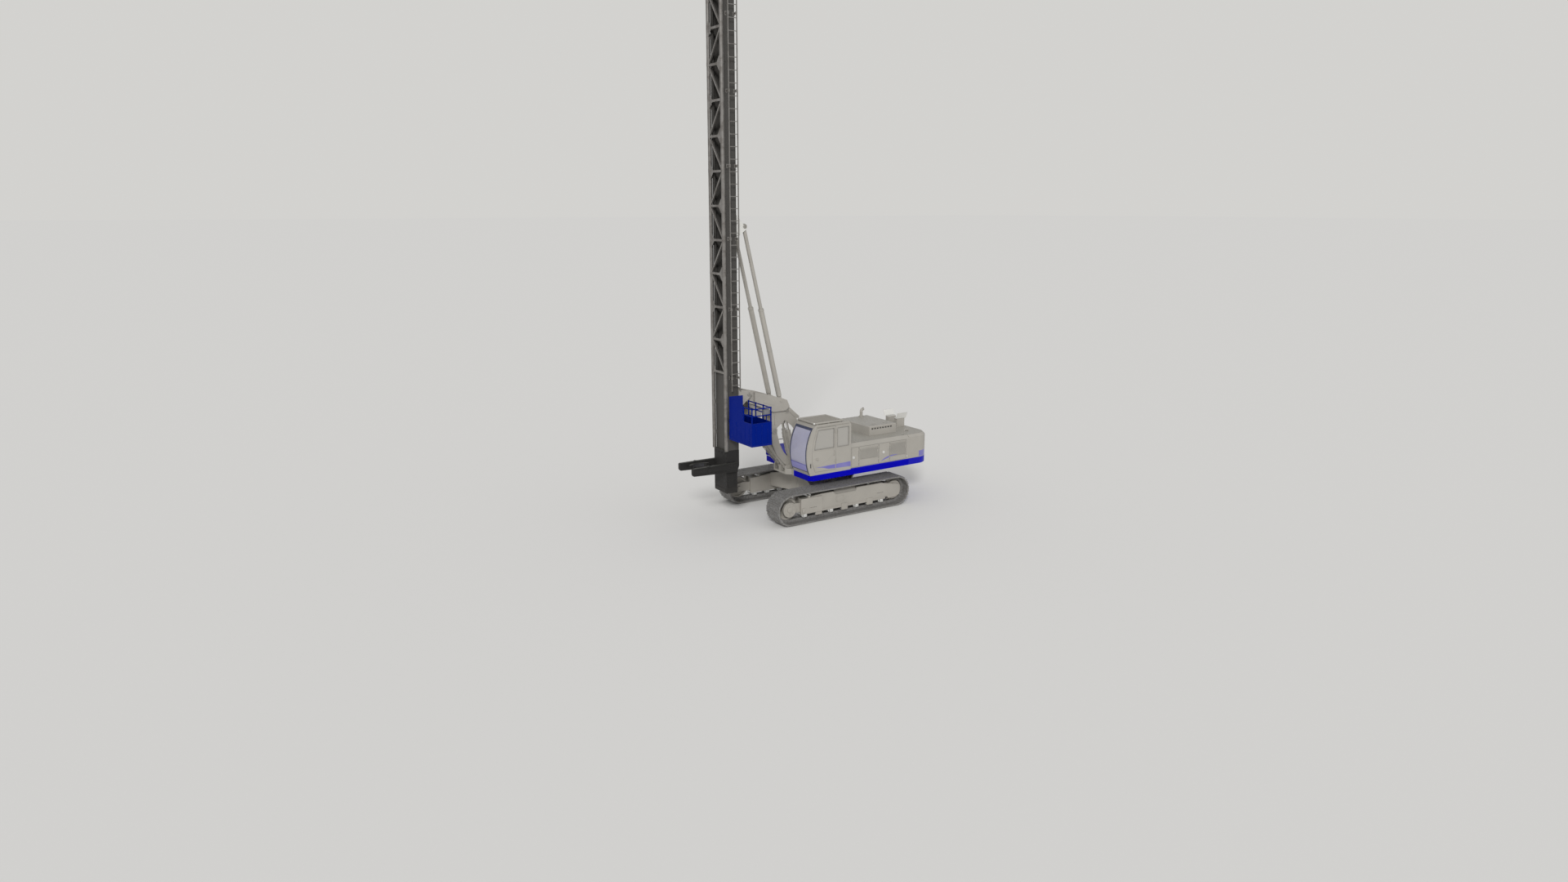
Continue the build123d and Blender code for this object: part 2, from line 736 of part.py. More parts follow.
def door_outline(margin):
    """Door's (x, z) corners, its front edge following the front pillar."""
    return [
        (door_rear_x + margin, door_bottom + margin),
        (door_front_x - margin, door_bottom + margin),
        (door_front_x + 105 - margin, 1780 + margin * 0.4),
        (door_front_x + 118 - margin, 2080),
        (door_front_x + 70 - margin, 2460),
        (door_front_x - 55 - margin, door_top - margin),
        (door_rear_x + margin, door_top - margin),
    ]


def door_window(margin):
    """Window opening in the door's upper half."""
    return [
        (door_rear_x + 70 + margin, window_sill + margin),
        (door_front_x + 30 - margin, window_sill + margin),
        (door_front_x - 8 - margin, 2480),
        (door_front_x - 105 - margin, door_top - 70 - margin),
        (door_rear_x + 70 + margin, door_top - 70 - margin),
    ]


side_window = ((cab_rear_x + 90, door_rear_x - 60), (window_sill, door_top - 70))
inner_window = ((cab_rear_x + 120, cab_brow_x - 120), (1900.0, door_top - 70))
rear_window = ((cab_inner_y + 110, cab_outer_y - 110), (2330.0, cab_roof - 190))
with BuildPart() as cab_shell:
    cab_solid(0, cab_inner_y, cab_outer_y)
    cab_solid(cab_wall, cab_inner_y + cab_wall, cab_outer_y - cab_wall, Mode.SUBTRACT)
    block((cab_brow_x - 200, cab_belly_x + 60), (cab_inner_y + pillar, cab_outer_y - pillar),
          (front_glass_low, front_glass_high), Mode.SUBTRACT)
    side_slab(door_outline(0), cab_outer_y - cab_wall - 1, cab_outer_y + 1, Mode.SUBTRACT)
    block(side_window[0], (cab_outer_y - cab_wall - 1, cab_outer_y + 1), side_window[1], Mode.SUBTRACT)
    block(inner_window[0], (cab_inner_y - 1, cab_inner_y + cab_wall + 1), inner_window[1], Mode.SUBTRACT)
    block((cab_rear_x - 1, cab_rear_x + cab_wall + 1), rear_window[0], rear_window[1], Mode.SUBTRACT)
    for z in hinge_zs:
        for step in (-1, 1):
            low_z = z + step * knuckle_height - knuckle_height / 2
            knuckle_z = (low_z + running_gap, low_z + knuckle_height - running_gap)
            upright_pin(hinge_axis, hinge_radius, *knuckle_z)
            block((hinge_axis[0] - 38, hinge_axis[0]), hinge_leaf_y, knuckle_z)
cab_shell.part.label = "cab_shell"
export_step(cab_shell.part, "parts/cab_shell.step")

# Windscreen: one curved pane that follows the cab's front arc
pane_outer = glass_gap + 6.0
with BuildPart() as windscreen:
    cab_solid(pane_outer, cab_inner_y + pillar + glass_gap, cab_outer_y - pillar - glass_gap)
    cab_solid(pane_outer + glass_thickness, cab_inner_y, cab_outer_y, Mode.SUBTRACT)
    keep = ((cab_brow_x - 150, cab_belly_x + 60), (cab_inner_y, cab_outer_y),
            (front_glass_low + glass_gap, front_glass_high - glass_gap))
    block(*keep, Mode.INTERSECT)
windscreen.part.label = "windscreen"
export_step(windscreen.part, "parts/windscreen.step")

# Fixed side, inner and rear panes in one node
with BuildPart() as cab_panes:
    outer_glass = (cab_outer_y - 24, cab_outer_y - 24 + glass_thickness)
    inner_glass = (cab_inner_y + 16, cab_inner_y + 16 + glass_thickness)
    rear_glass = (cab_rear_x + 16, cab_rear_x + 16 + glass_thickness)
    (low_x, high_x), (low_z, high_z) = side_window
    block((low_x + glass_gap, high_x - glass_gap), outer_glass, (low_z + glass_gap, high_z - glass_gap))
    (low_x, high_x), (low_z, high_z) = inner_window
    block((low_x + glass_gap, high_x - glass_gap), inner_glass, (low_z + glass_gap, high_z - glass_gap))
    (low_y, high_y), (low_z, high_z) = rear_window
    block(rear_glass, (low_y + glass_gap, high_y - glass_gap), (low_z + glass_gap, high_z - glass_gap))
cab_panes.part.label = "cab_panes"
export_step(cab_panes.part, "parts/cab_panes.step")

# Door: full thickness panel with its own window, hinged at its rear edge
with BuildPart() as cab_door:
    side_slab(door_outline(door_gap), *door_panel_y)
    side_slab(door_window(0), cab_outer_y - cab_wall - 1, cab_outer_y + 1, Mode.SUBTRACT)
    block((door_front_x - 120, door_front_x - 20), (cab_outer_y - 1, cab_outer_y + 26), (1900, 1935))
    for z in hinge_zs:
        knuckle_z = (z - knuckle_height / 2 + running_gap, z + knuckle_height / 2 - running_gap)
        upright_pin(hinge_axis, hinge_radius, *knuckle_z)
        block((hinge_axis[0], hinge_axis[0] + 48), hinge_leaf_y, knuckle_z)
cab_door.part.label = "cab_door"
export_step(cab_door.part, "parts/cab_door.step")

with BuildPart() as door_pane:
    side_slab(door_window(glass_gap), *outer_glass)
door_pane.part.label = "door_pane"
export_step(door_pane.part, "parts/door_pane.step")

# Seat and control boxes inside the cab
cab_floor = deck_top + cab_wall
seat_y = (cab_inner_y + cab_outer_y) / 2
with BuildPart() as cab_seat:
    block((60, 520), (seat_y - 240, seat_y + 240), (cab_floor + 330, cab_floor + 460))
    block((130, 450), (seat_y - 150, seat_y + 150), (cab_floor, cab_floor + 331))
    side_slab([(40, cab_floor + 450), (160, cab_floor + 450), (40, cab_floor + 1160),
               (-60, cab_floor + 1160)], seat_y - 230, seat_y + 230)
    fillet(cab_seat.edges().filter_by(Axis.Y).group_by(Axis.Z)[-1], 30)
cab_seat.part.label = "cab_seat"
export_step(cab_seat.part, "parts/cab_seat.step")

with BuildPart() as cab_consoles:
    for side in (-1, 1):
        reach = sorted((seat_y + side * 270, seat_y + side * 400))
        block((120, 620), reach, (cab_floor, cab_floor + 560))
    cross = (seat_y - 30, seat_y + 30)
    block((cab_front_x - 250, cab_front_x - 170), cross, (cab_floor, cab_floor + 620))
cab_consoles.part.label = "cab_consoles"
export_step(cab_consoles.part, "parts/cab_consoles.step")

# Roof guard: tube frame on stubs with a grid of bars, and a brow plate at its front
guard_tube = 28.0
guard_z = cab_roof + 45
guard_x = (-30.0, 1020.0)
guard_y = (cab_inner_y + 40, cab_outer_y - 40)
grid_count = 9
with BuildPart() as roof_guard:
    for y in guard_y:
        bar((guard_x[0], y, guard_z), (guard_x[1] + 30, y, guard_z), guard_tube)
        for x in (60.0, 495.0, 930.0):
            block((x - 22, x + 22), (y - 12, y + 12), (cab_roof, guard_z))
    for x in guard_x:
        bar((x, guard_y[0], guard_z), (x, guard_y[1], guard_z), guard_tube)
    for number in range(grid_count):
        y = guard_y[0] + (guard_y[1] - guard_y[0]) * (number + 1) / (grid_count + 1)
        block((guard_x[0], guard_x[1]), (y - 5, y + 5), (guard_z - 20, guard_z + 20))
roof_guard.part.label = "roof_guard"
export_step(roof_guard.part, "parts/roof_guard.step")

# Boom arm: two bent side arms joined by tubes, between the upper frame and the head
arm_outline = [
    (930, 1395), (1050, 1370), (1330, 1560), (1590, 1860), (1745, 2200), (1800, 2640),
    (1790, 2730), (1700, 2785), (1605, 2730), (1585, 2560), (1500, 2240), (1360, 1960),
    (1130, 1700), (915, 1530), (895, 1450),
]
with BuildPart() as boom_arm:
    for side in (-1, 1):
        plate = sorted((side * arm_inner_y, side * (arm_inner_y + arm_plate)))
        side_slab(arm_outline, *plate)
        for pin in (arm_foot, arm_top):
            cross_pin(pin, pin_radius + pin_clearance, plate[0] - 1, plate[1] + 1, Mode.SUBTRACT)
    tie_places = ((1405.0, 1940.0), (1665.0, 2440.0))
    for tie in tie_places:
        cross_pin(tie, 48, -arm_inner_y - 2, arm_inner_y + 2)
boom_arm.part.label = "boom_arm"
export_step(boom_arm.part, "parts/boom_arm.step")

# Boom head: two cheeks with top and nose webs, carrying all the upper pins
cheek_outline = [
    (2925, 4050), (2850, 4095), (2050, 3890), (1690, 3760), (1440, 3690), (1280, 3620),
    (1170, 3390), (770, 3040), (990, 2680), (1070, 2780), (1310, 2980), (1620, 2755),
    (1600, 2640), (1700, 2580), (1800, 2640), (1812, 2780), (1800, 3300), (1860, 3470), (1960, 3510),
    (2050, 3450), (2640, 3650),
]
# Housing on each cheek that takes the backstay's foot: an outline, and its pocket open at the top
housing_outer_y = 378.0
housing_plate = 24.0
stay_slot_y = (246.0, housing_outer_y - housing_plate)
stay_slot_radius = 112.0
stay_housing = [
    (2470, 3986), (2050, 3890), (1690, 3773), (1440, 3692), (1290, 3630), (1190, 3420),
    (1330, 3300), (1800, 3300), (2470, 3600),
]
housing_pocket = [
    (2446, 4200), (1322, 4200), (1322, 3630), (1222, 3424), (1340, 3324), (1796, 3324), (2446, 3615),
]
stay_slot = [
    (stay_foot[0] - stay_slot_radius, stay_foot[1]), (stay_foot[0] + stay_slot_radius, stay_foot[1]),
    (stay_foot[0] + 200, stay_foot[1] + 200), (stay_foot[0] - 130, stay_foot[1] + 200),
]
stay_ear = [(1356, 3383), (1656, 3383), (1610, 3640), (1560, 3705), (1452, 3705), (1406, 3640)]
ear_base = [(1356, 3383), (1656, 3383), (1648, 3463), (1374, 3463)]
with BuildPart() as boom_head:
    for side in (-1, 1):
        cheek = sorted((side * cheek_inner_y, side * (cheek_inner_y + cheek_plate)))
        side_slab(cheek_outline, *cheek)
        housing = sorted((side * (cheek_inner_y + cheek_plate - 1), side * housing_outer_y))
        side_slab(stay_housing, *housing)
        side_slab(stay_slot, *sorted((side * stay_slot_y[0], side * stay_slot_y[1])), Mode.SUBTRACT)
        cross_pin(stay_foot, stay_slot_radius, *sorted((side * stay_slot_y[0], side * stay_slot_y[1])),
                  Mode.SUBTRACT)
        side_slab(housing_pocket, *sorted((side * (cheek_inner_y + cheek_plate), side * stay_slot_y[1])),
                  Mode.SUBTRACT)
        side_slab(stay_ear, *sorted((side * (stay_slot_y[0] - housing_plate), side * stay_slot_y[0])))
        side_slab(ear_base, *sorted((side * (stay_slot_y[0] - housing_plate), side * cheek_inner_y)))
    cheek_reach = cheek_inner_y + 2
    for web in (
        [(1800, 3780), (2400, 3955), (2400, 3935), (1806, 3760)],
        [(2090, 3500), (2560, 3660), (2555, 3680), (2085, 3520)],
        [(790, 3040), (1010, 3230), (997, 3245), (775, 3055)],
    ):
        side_slab(web, -cheek_reach, cheek_reach)
    for side in (-1, 1):
        lug = sorted((side * 200, side * 230))
        side_slab([
            (2100, 3480), (2600, 3660), (2420, 2780), (2380, 2720), (2290, 2720), (2250, 2780),
        ], *lug)
        tie = sorted((side * 200, side * (cheek_inner_y + 2)))
        side_slab([(2100, 3480), (2600, 3650), (2590, 3690), (2090, 3520)], *tie)
    for pin, reach in ((arm_top, 312), (level_top, 312), (luff_top, 244), (leader_pin, 420)):
        cross_pin(pin, pin_radius, -reach, reach)
    for side in (-1, 1):
        cross_pin(stay_foot, pin_radius, *sorted((side * 212, side * 388)))
boom_head.part.label = "boom_head"
export_step(boom_head.part, "parts/boom_head.step")

# Cylinder pairs
cylinder_table = (
    # name, foot pin, top pin, side offset, barrel radius, rod radius, barrel share, eye width
    ("level", level_foot, level_top, cylinder_y, cylinder_radius, cylinder_rod_radius, 0.62, 120.0),
    ("luff", luff_foot, luff_top, cylinder_y, cylinder_radius, cylinder_rod_radius, 0.66, 120.0),
    ("stay", stay_foot, stay_top, stay_y, stay_barrel_radius, stay_rod_radius, 0.54, 96.0),
)
for name, foot, top, offset_y, barrel_radius, rod_radius, share, eye_width in cylinder_table:
    mouth = between(foot, top, share)
    neck = between(foot, top, 0.03 if name == "stay" else 0.06)
    bore_start = between(foot, top, 0.12)
    rod_start = between(foot, top, share - 0.22)
    with BuildPart() as barrels:
        for side in (-1, 1):
            y = side * offset_y
            bar(at_y(neck, y), at_y(mouth, y), barrel_radius)
            cross_pin(foot, eye_radius, y - eye_width / 2, y + eye_width / 2)
            square_bar(at_y(foot, y), at_y(between(foot, top, 0.08), y), eye_width * 0.8, 110)
            cross_pin(foot, pin_radius + pin_clearance, y - 100, y + 100, Mode.SUBTRACT)
            bar(at_y(bore_start, y), at_y(between(foot, top, share + 0.02), y), rod_radius + running_gap,
                Mode.SUBTRACT)
    barrels.part.label = name + "_barrels"
    export_step(barrels.part, "parts/" + name + "_barrels.step")
    with BuildPart() as rods:
        for side in (-1, 1):
            y = side * offset_y
            bar(at_y(rod_start, y), at_y(top, y), rod_radius)
            cross_pin(top, eye_radius, y - eye_width / 2, y + eye_width / 2)
            cross_pin(top, pin_radius + open_eye_clearance, y - 100, y + 100, Mode.SUBTRACT)
    rods.part.label = name + "_rods"
    export_step(rods.part, "parts/" + name + "_rods.step")

# Leader: girder of side and rear plates with corner chords
girder_bottom = guide_bottom
with BuildPart() as leader_girder:
    front_x = guide_x - guide_radius - 4
    block((girder_rear_x, girder_rear_x + girder_plate), (-girder_half_width, girder_half_width),
          (girder_bottom, mast_top))
    for side in (-1, 1):
        wall = sorted((side * girder_half_width, side * (girder_half_width - girder_plate)))
        block((girder_rear_x, front_x), wall, (girder_bottom, mast_top))
        chord = sorted((side * (girder_half_width - 1), side * (girder_half_width - chord_size)))
        block((front_x - 50, front_x), chord, (girder_bottom, mast_top))
    for number in range(3):
        z = girder_bottom + number * 1200.0
        block((girder_rear_x + 1, front_x), (-girder_half_width + 1, girder_half_width - 1), (z, z + 12))
    block((front_x - 12, front_x), (-girder_half_width + 1, girder_half_width - 1),
          (girder_bottom, lattice_start))
leader_girder.part.label = "leader_girder"
export_step(leader_girder.part, "parts/leader_girder.step")

# Front guide tubes joined by the lattice of posts and diagonals
with BuildPart() as guide_lattice:
    for side in (-1, 1):
        bar((guide_x, side * guide_y, girder_bottom), (guide_x, side * guide_y, mast_top), guide_radius)
    for number in range(bay_count + 1):
        z = lattice_start + number * bay_height
        block((guide_x - 30, guide_x + 30), (-guide_y, guide_y), (z - 64, z))
    for number in range(bay_count):
        lean = 1 if number % 2 else -1
        low = (guide_x, -lean * guide_y, lattice_start + number * bay_height - 32)
        high = (guide_x, lean * guide_y, lattice_start + (number + 1) * bay_height - 32)
        square_bar(low, high, 50, 50)
    for side in (-1, 1):
        strip = sorted((side * (guide_y - 60), side * guide_y))
        for number in range(bay_count + 2):
            z = lattice_start - 2 * bay_height + number * bay_height * 0.98
            block((guide_x - guide_radius - 3.7, guide_x), strip, (z - 60, z + 60))
guide_lattice.part.label = "guide_lattice"
export_step(guide_lattice.part, "parts/guide_lattice.step")

# Leader foot box
with BuildPart() as leader_foot:
    side_slab([
        (foot_rear_x, foot_bottom), (guide_x, foot_bottom), (guide_x + 10, foot_bottom + 30),
        (guide_x + 10, guide_bottom), (girder_rear_x, guide_bottom), (girder_rear_x, guide_bottom - 500),
        (foot_rear_x, guide_bottom - 700),
    ], -guide_y, guide_y)
leader_foot.part.label = "leader_foot"
export_step(leader_foot.part, "parts/leader_foot.step")

# Pile guide: two arms with curved jaws between them
with BuildPart() as pile_guide:
    for side in (-1, 1):
        arm = sorted((side * guide_y, side * (guide_y + fork_thickness)))
        side_slab([
            (foot_rear_x + 40, fork_bottom), (fork_tip_x - 20, fork_bottom + 60),
            (fork_tip_x, fork_bottom + 90), (fork_tip_x, fork_top - 20), (fork_tip_x - 20, fork_top),
            (foot_rear_x + 40, fork_top),
        ], *arm)
        with BuildSketch(Plane.XY.offset(fork_bottom + 110)):
            with Locations((jaw_x, 0)):
                Circle(jaw_outer_radius + 20)
                Circle(jaw_inner_radius, mode=Mode.SUBTRACT)
            low_y, high_y = sorted((side * 170, side * 600))
            with BuildLine():
                Polyline((jaw_x - 420, low_y), (jaw_x + 420, low_y), (jaw_x + 420, high_y),
                         (jaw_x - 420, high_y), close=True)
            make_face(mode=Mode.INTERSECT)
        extrude(amount=130)
pile_guide.part.label = "pile_guide"
export_step(pile_guide.part, "parts/pile_guide.step")

# Ladder on the leader's left side, with stand-off brackets
rung_count = int((ladder_top - ladder_bottom) / rung_pitch)
with BuildPart() as ladder:
    for x in (ladder_rear_x, ladder_front_x):
        block((x - rail_size / 2, x + rail_size / 2), (ladder_y - 8, ladder_y + 8),
              (ladder_bottom, ladder_top))
    for number in range(rung_count):
        z = ladder_bottom + 180 + number * rung_pitch
        half = rung_size / 2
        block((ladder_rear_x, ladder_front_x), (ladder_y - half + 1, ladder_y + half - 1),
              (z - half, z + half))
    for number in range(8):
        z = ladder_bottom + 400 + number * 2050
        for x in (ladder_rear_x + 20, ladder_front_x):
            block((x - 14, x + 14), (girder_half_width, ladder_y), (z - 25, z + 25))
ladder.part.label = "ladder"
export_step(ladder.part, "parts/ladder.step")

# Brackets on the leader's rear for the leader pin and for the backstays
bracket_rise = 160.0
bracket_drop = 420.0
bracket_plate = 22.0
bracket_plate_ys = (338.0, 392.0)
stay_bracket_rise = 320.0
stay_bracket_drop = 330.0
stay_bracket_plate = 18.0
stay_bracket_ys = (218.0, 364.0)
with BuildPart() as leader_brackets:
    for side in (-1, 1):
        for inner in bracket_plate_ys:
            plate = sorted((side * inner, side * (inner + bracket_plate)))
            side_slab([
                (girder_rear_x, leader_pin[1] - bracket_drop), (girder_rear_x, leader_pin[1] + bracket_rise),
                (leader_pin[0] - 20, leader_pin[1] + 100), (leader_pin[0] - 95, leader_pin[1]),
                (leader_pin[0] - 20, leader_pin[1] - 110),
            ], *plate)
            cross_pin(leader_pin, pin_radius + pin_clearance, plate[0] - 1, plate[1] + 1, Mode.SUBTRACT)
        for inner in stay_bracket_ys:
            plate = sorted((side * inner, side * (inner + stay_bracket_plate)))
            side_slab([
                (girder_rear_x, stay_top[1] - stay_bracket_drop),
                (girder_rear_x, stay_top[1] + stay_bracket_rise),
                (stay_top[0] + 60, stay_top[1] + 60), (stay_top[0] - 80, stay_top[1] - 20),
                (stay_top[0] - 60, stay_top[1] - 80),
            ], *plate)
        cross_pin(stay_top, pin_radius, *sorted((side * 210, side * 390)))
    bracket_reach = bracket_plate_ys[1] + bracket_plate
    block((girder_rear_x - 20, girder_rear_x), (-bracket_reach, bracket_reach),
          (leader_pin[1] - bracket_drop, leader_pin[1] + bracket_rise))
    block((girder_rear_x - 16, girder_rear_x), (-370, 370),
          (stay_top[1] - stay_bracket_drop, stay_top[1] + stay_bracket_rise))
leader_brackets.part.label = "leader_brackets"
export_step(leader_brackets.part, "parts/leader_brackets.step")

# Leader head: two plates that overhang to the front and carry the sheaves
sheave_radius = 210.0
sheave_axle = (guide_x + 60, mast_top + 330)
sheave_axle_radius = 40.0
head_plate_y = 240.0
with BuildPart() as leader_head:
    block((girder_rear_x, guide_x + 70), (-girder_half_width - 40, girder_half_width + 40),
          (mast_top, mast_top + 40))
    for side in (-1, 1):
        plate = sorted((side * head_plate_y, side * (head_plate_y + 25)))
        side_slab([
            (girder_rear_x - 100, mast_top + 30), (guide_x + 60, mast_top + 30),
            (guide_x + 330, mast_top + 250), (guide_x + 330, mast_top + 430),
            (guide_x + 200, mast_top + 620), (girder_rear_x - 100, mast_top + 470),
        ], *plate)
    cross_pin(sheave_axle, sheave_axle_radius, -head_plate_y - 40, head_plate_y + 40)
    block((girder_rear_x + 20, girder_rear_x + 60), (-head_plate_y - 2, head_plate_y + 2),
          (mast_top + 60, mast_top + 400))
leader_head.part.label = "leader_head"
export_step(leader_head.part, "parts/leader_head.step")

sheave_ys = (-150.0, 0.0, 150.0)
sheave_half = 30.0
spacer_ys = (-75.0, 75.0)
spacer_half = 46.0
spacer_radius = 80.0
with BuildPart() as head_sheaves:
    for y in sheave_ys:
        cross_pin(sheave_axle, sheave_radius, y - sheave_half, y + sheave_half)
    for y in spacer_ys:
        cross_pin(sheave_axle, spacer_radius, y - spacer_half, y + spacer_half)
    cross_pin(sheave_axle, sheave_axle_radius + pin_clearance, -400, 400, Mode.SUBTRACT)
head_sheaves.part.label = "head_sheaves"
export_step(head_sheaves.part, "parts/head_sheaves.step")

# Work basket: sheet tub with a front screen and tube rails, on brackets from the girder
middle_post_ys = (930.0, 1360.0)
basket_bracket_xs = ((3120, 3220), (3280, 3380))
basket_bracket_half = 50.0
with BuildPart() as basket:
    outer_x = (basket_rear_x, basket_front_x)
    outer_y = (basket_inner_y, basket_outer_y)
    sheet = basket_sheet
    block(outer_x, outer_y, (basket_floor - 20, basket_wall_top))
    block((outer_x[0] + sheet, outer_x[1] - sheet), (outer_y[0] + sheet, outer_y[1] - sheet),
          (basket_floor, basket_wall_top + 1), Mode.SUBTRACT)
    front_slab([
        (outer_y[0], basket_wall_top - 1), (basket_screen_y, basket_wall_top - 1),
        (basket_screen_y, basket_screen_top), (outer_y[0], basket_screen_low_top),
    ], outer_x[1] - sheet, outer_x[1])
    rail = 17.0
    post = 20.0
    rail_path_y = basket_outer_y - post
    rail_rear_x = basket_rear_x + post
    rail_front_x = basket_front_x - post
    for z in (basket_rail_top, (basket_wall_top + basket_rail_top) / 2):
        bar((rail_rear_x, basket_inner_y + 20, z), (rail_rear_x, rail_path_y, z), rail)
        bar((rail_rear_x, rail_path_y, z), (rail_front_x, rail_path_y, z), rail)
        bar((rail_front_x, rail_path_y, z), (rail_front_x, basket_screen_y - 10, z), rail)
    post_places = [(rail_rear_x, y) for y in (basket_inner_y + 20, *middle_post_ys, rail_path_y)]
    post_places += [(rail_front_x, rail_path_y), (rail_front_x, basket_screen_y + 20)]
    for x, y in post_places:
        bar((x, y, basket_wall_top - 20), (x, y, basket_rail_top + 24), post)
    for z in (basket_floor + 120, basket_wall_top - 160):
        for bracket_x in basket_bracket_xs:
            block(bracket_x, (girder_half_width, basket_inner_y + 2),
                  (z - basket_bracket_half, z + basket_bracket_half))
basket.part.label = "basket"
export_step(basket.part, "parts/basket.step")
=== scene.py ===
"""Finish and fittings of a crawler pile driver rig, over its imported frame.

Metres, in the frame of the solids: +X is forward, +Y the cab side, +Z up, with the
origin on the ground under the slewing axis. Every new surface is computed as arrays of
points: a closed outline carried along a path, turned about an axis, or stacked.
"""

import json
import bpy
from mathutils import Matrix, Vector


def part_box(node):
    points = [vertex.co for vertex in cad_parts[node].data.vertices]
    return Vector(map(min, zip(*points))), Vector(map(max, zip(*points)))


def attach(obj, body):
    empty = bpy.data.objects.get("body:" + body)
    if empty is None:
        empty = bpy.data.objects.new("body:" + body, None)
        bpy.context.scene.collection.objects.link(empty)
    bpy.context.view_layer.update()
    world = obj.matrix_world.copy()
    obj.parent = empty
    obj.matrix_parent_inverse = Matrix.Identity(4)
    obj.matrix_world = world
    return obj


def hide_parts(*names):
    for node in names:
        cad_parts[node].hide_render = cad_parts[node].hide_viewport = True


bl_info = {
    "name": "Pile driver rig finish",
    "version": (1, 0, 0),
    "blender": (4, 5, 0),
    "location": "3D View > Sidebar > Rig",
    "description": "Paint, glass, steel and small fittings of a crawler pile driver rig",
    "category": "Object",
}
from functools import partial
from math import pi, radians

import bpy
import numpy as np

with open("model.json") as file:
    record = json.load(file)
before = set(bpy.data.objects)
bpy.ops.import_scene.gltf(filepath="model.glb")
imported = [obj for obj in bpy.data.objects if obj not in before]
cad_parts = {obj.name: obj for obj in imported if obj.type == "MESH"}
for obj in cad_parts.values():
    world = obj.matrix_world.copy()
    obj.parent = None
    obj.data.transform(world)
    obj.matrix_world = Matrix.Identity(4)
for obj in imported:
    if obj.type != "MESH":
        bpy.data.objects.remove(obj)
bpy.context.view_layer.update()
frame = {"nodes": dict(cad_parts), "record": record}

X, Y, Z = np.eye(3)
ORIGIN = np.zeros(3)
IN_PLANE = np.array([1, 0, 1])
JOINTS = {joint["name"]: joint for joint in frame["record"]["behaviour"]["joints"]}


def low(node):
    """Lowest corner of a solid."""
    return np.array(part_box(node)[0])


def high(node):
    """Highest corner of a solid."""
    return np.array(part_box(node)[1])


def joint_place(name):
    """Point on a joint's axis, moved to the middle plane."""
    return np.array(JOINTS[name]["pos_m"]) * IN_PLANE


# Tracks
IDLER = (low("idlers") + high("idlers")) / 2
SPROCKET = (low("sprockets") + high("sprockets")) / 2
TRACK_Y = (low("track_left")[1] + high("track_left")[1]) / 2
AXLE_Z = IDLER[2]
SHOE_COUNT = 50
PITCH_RADIUS = 0.4005
SHOE_FACE_RADIUS = 0.474
RAIL_RADIUS = 0.355
RAIL_FACE = 0.090
LOOP_LENGTH = 2 * (IDLER[0] - SPROCKET[0]) + 2 * pi * PITCH_RADIUS
SIDE_FRAME_FACE = TRACK_Y + 0.200
FRONT_BLOCK_FACE = TRACK_Y + 0.240
ROLLER_XS = 1.470 - 0.500 * np.arange(7)
ROLLER_Z = AXLE_Z - RAIL_RADIUS + 0.0923
ROLLER_END_Y = TRACK_Y + 0.196
STEP_FOOT_Z = 0.735
STEP_TOP_Z = 0.862

# Upper carriage
DECK_TOP = low("engine_hood")[2]
SIDE = high("engine_hood")[1]
HOOD_TOP = high("engine_hood")[2]
COVER_TOP = high("raised_cover")[2]
BAND_RISE = 0.030
STACK_CAP_RISE = 0.285
WEIGHT_REAR = low("counterweight")[0]
WEIGHT_CORNER = 0.520
HOUSING_FRONT = high("right_housing")[0]

# Cab
CAB_REAR = low("cab_shell")[0]
CAB_INNER = low("cab_shell")[1]
CAB_ROOF = high("cab_shell")[2]
CAB_BASE = low("cab_shell")[2]
CAB_FLOOR = CAB_BASE + 0.040
CAB_MIDDLE = (CAB_INNER + SIDE) / 2
CAB_FRONT_POINTS = np.array([[1.200, 1.410], [1.330, 1.950], [1.065, 2.930]])
GLASS_LOW = CAB_BASE + 0.120
GLASS_HIGH = CAB_ROOF - 0.085
GLASS_SPLIT = 1.738
WINDOW_LOW = 2.210
WINDOW_TOP = 2.825
DOOR_REAR = low("cab_door")[0] + 0.012
DOOR_WINDOW = [[0.307, WINDOW_LOW], [1.050, WINDOW_LOW], [1.012, 2.480], [0.915, WINDOW_TOP],
               [0.307, WINDOW_TOP]]

# Cushions
CUSHION_VOXEL = 0.008
CUSHION_PRESSURE = 4.0
SWELL_STEPS = 20
SWELL_CAP = 0.012
CHANNEL_DEPTH = 0.010

# Linkage pins, as places in the middle plane
ARM_FOOT = joint_place("boom_luff")
ARM_TOP = joint_place("head_level")
LEVEL_FOOT = joint_place("level_barrel_hinge")
LUFF_FOOT = joint_place("luff_barrel_hinge")
LEADER_PIN = joint_place("leader_lean")
STAY_FOOT = joint_place("stay_barrel_hinge")
SHEAVE_AXLE = joint_place("sheave_spin")
LEVEL_TOP = np.array([1.240, 0.0, 3.270])
LUFF_TOP = np.array([2.330, 0.0, 2.800])
STAY_TOP = np.array([2.780, 0.0, 8.960])
CYLINDER_Y = 0.130
STAY_Y = 0.300
CHEEK_FACE = 0.300
ARM_FACE = 0.264

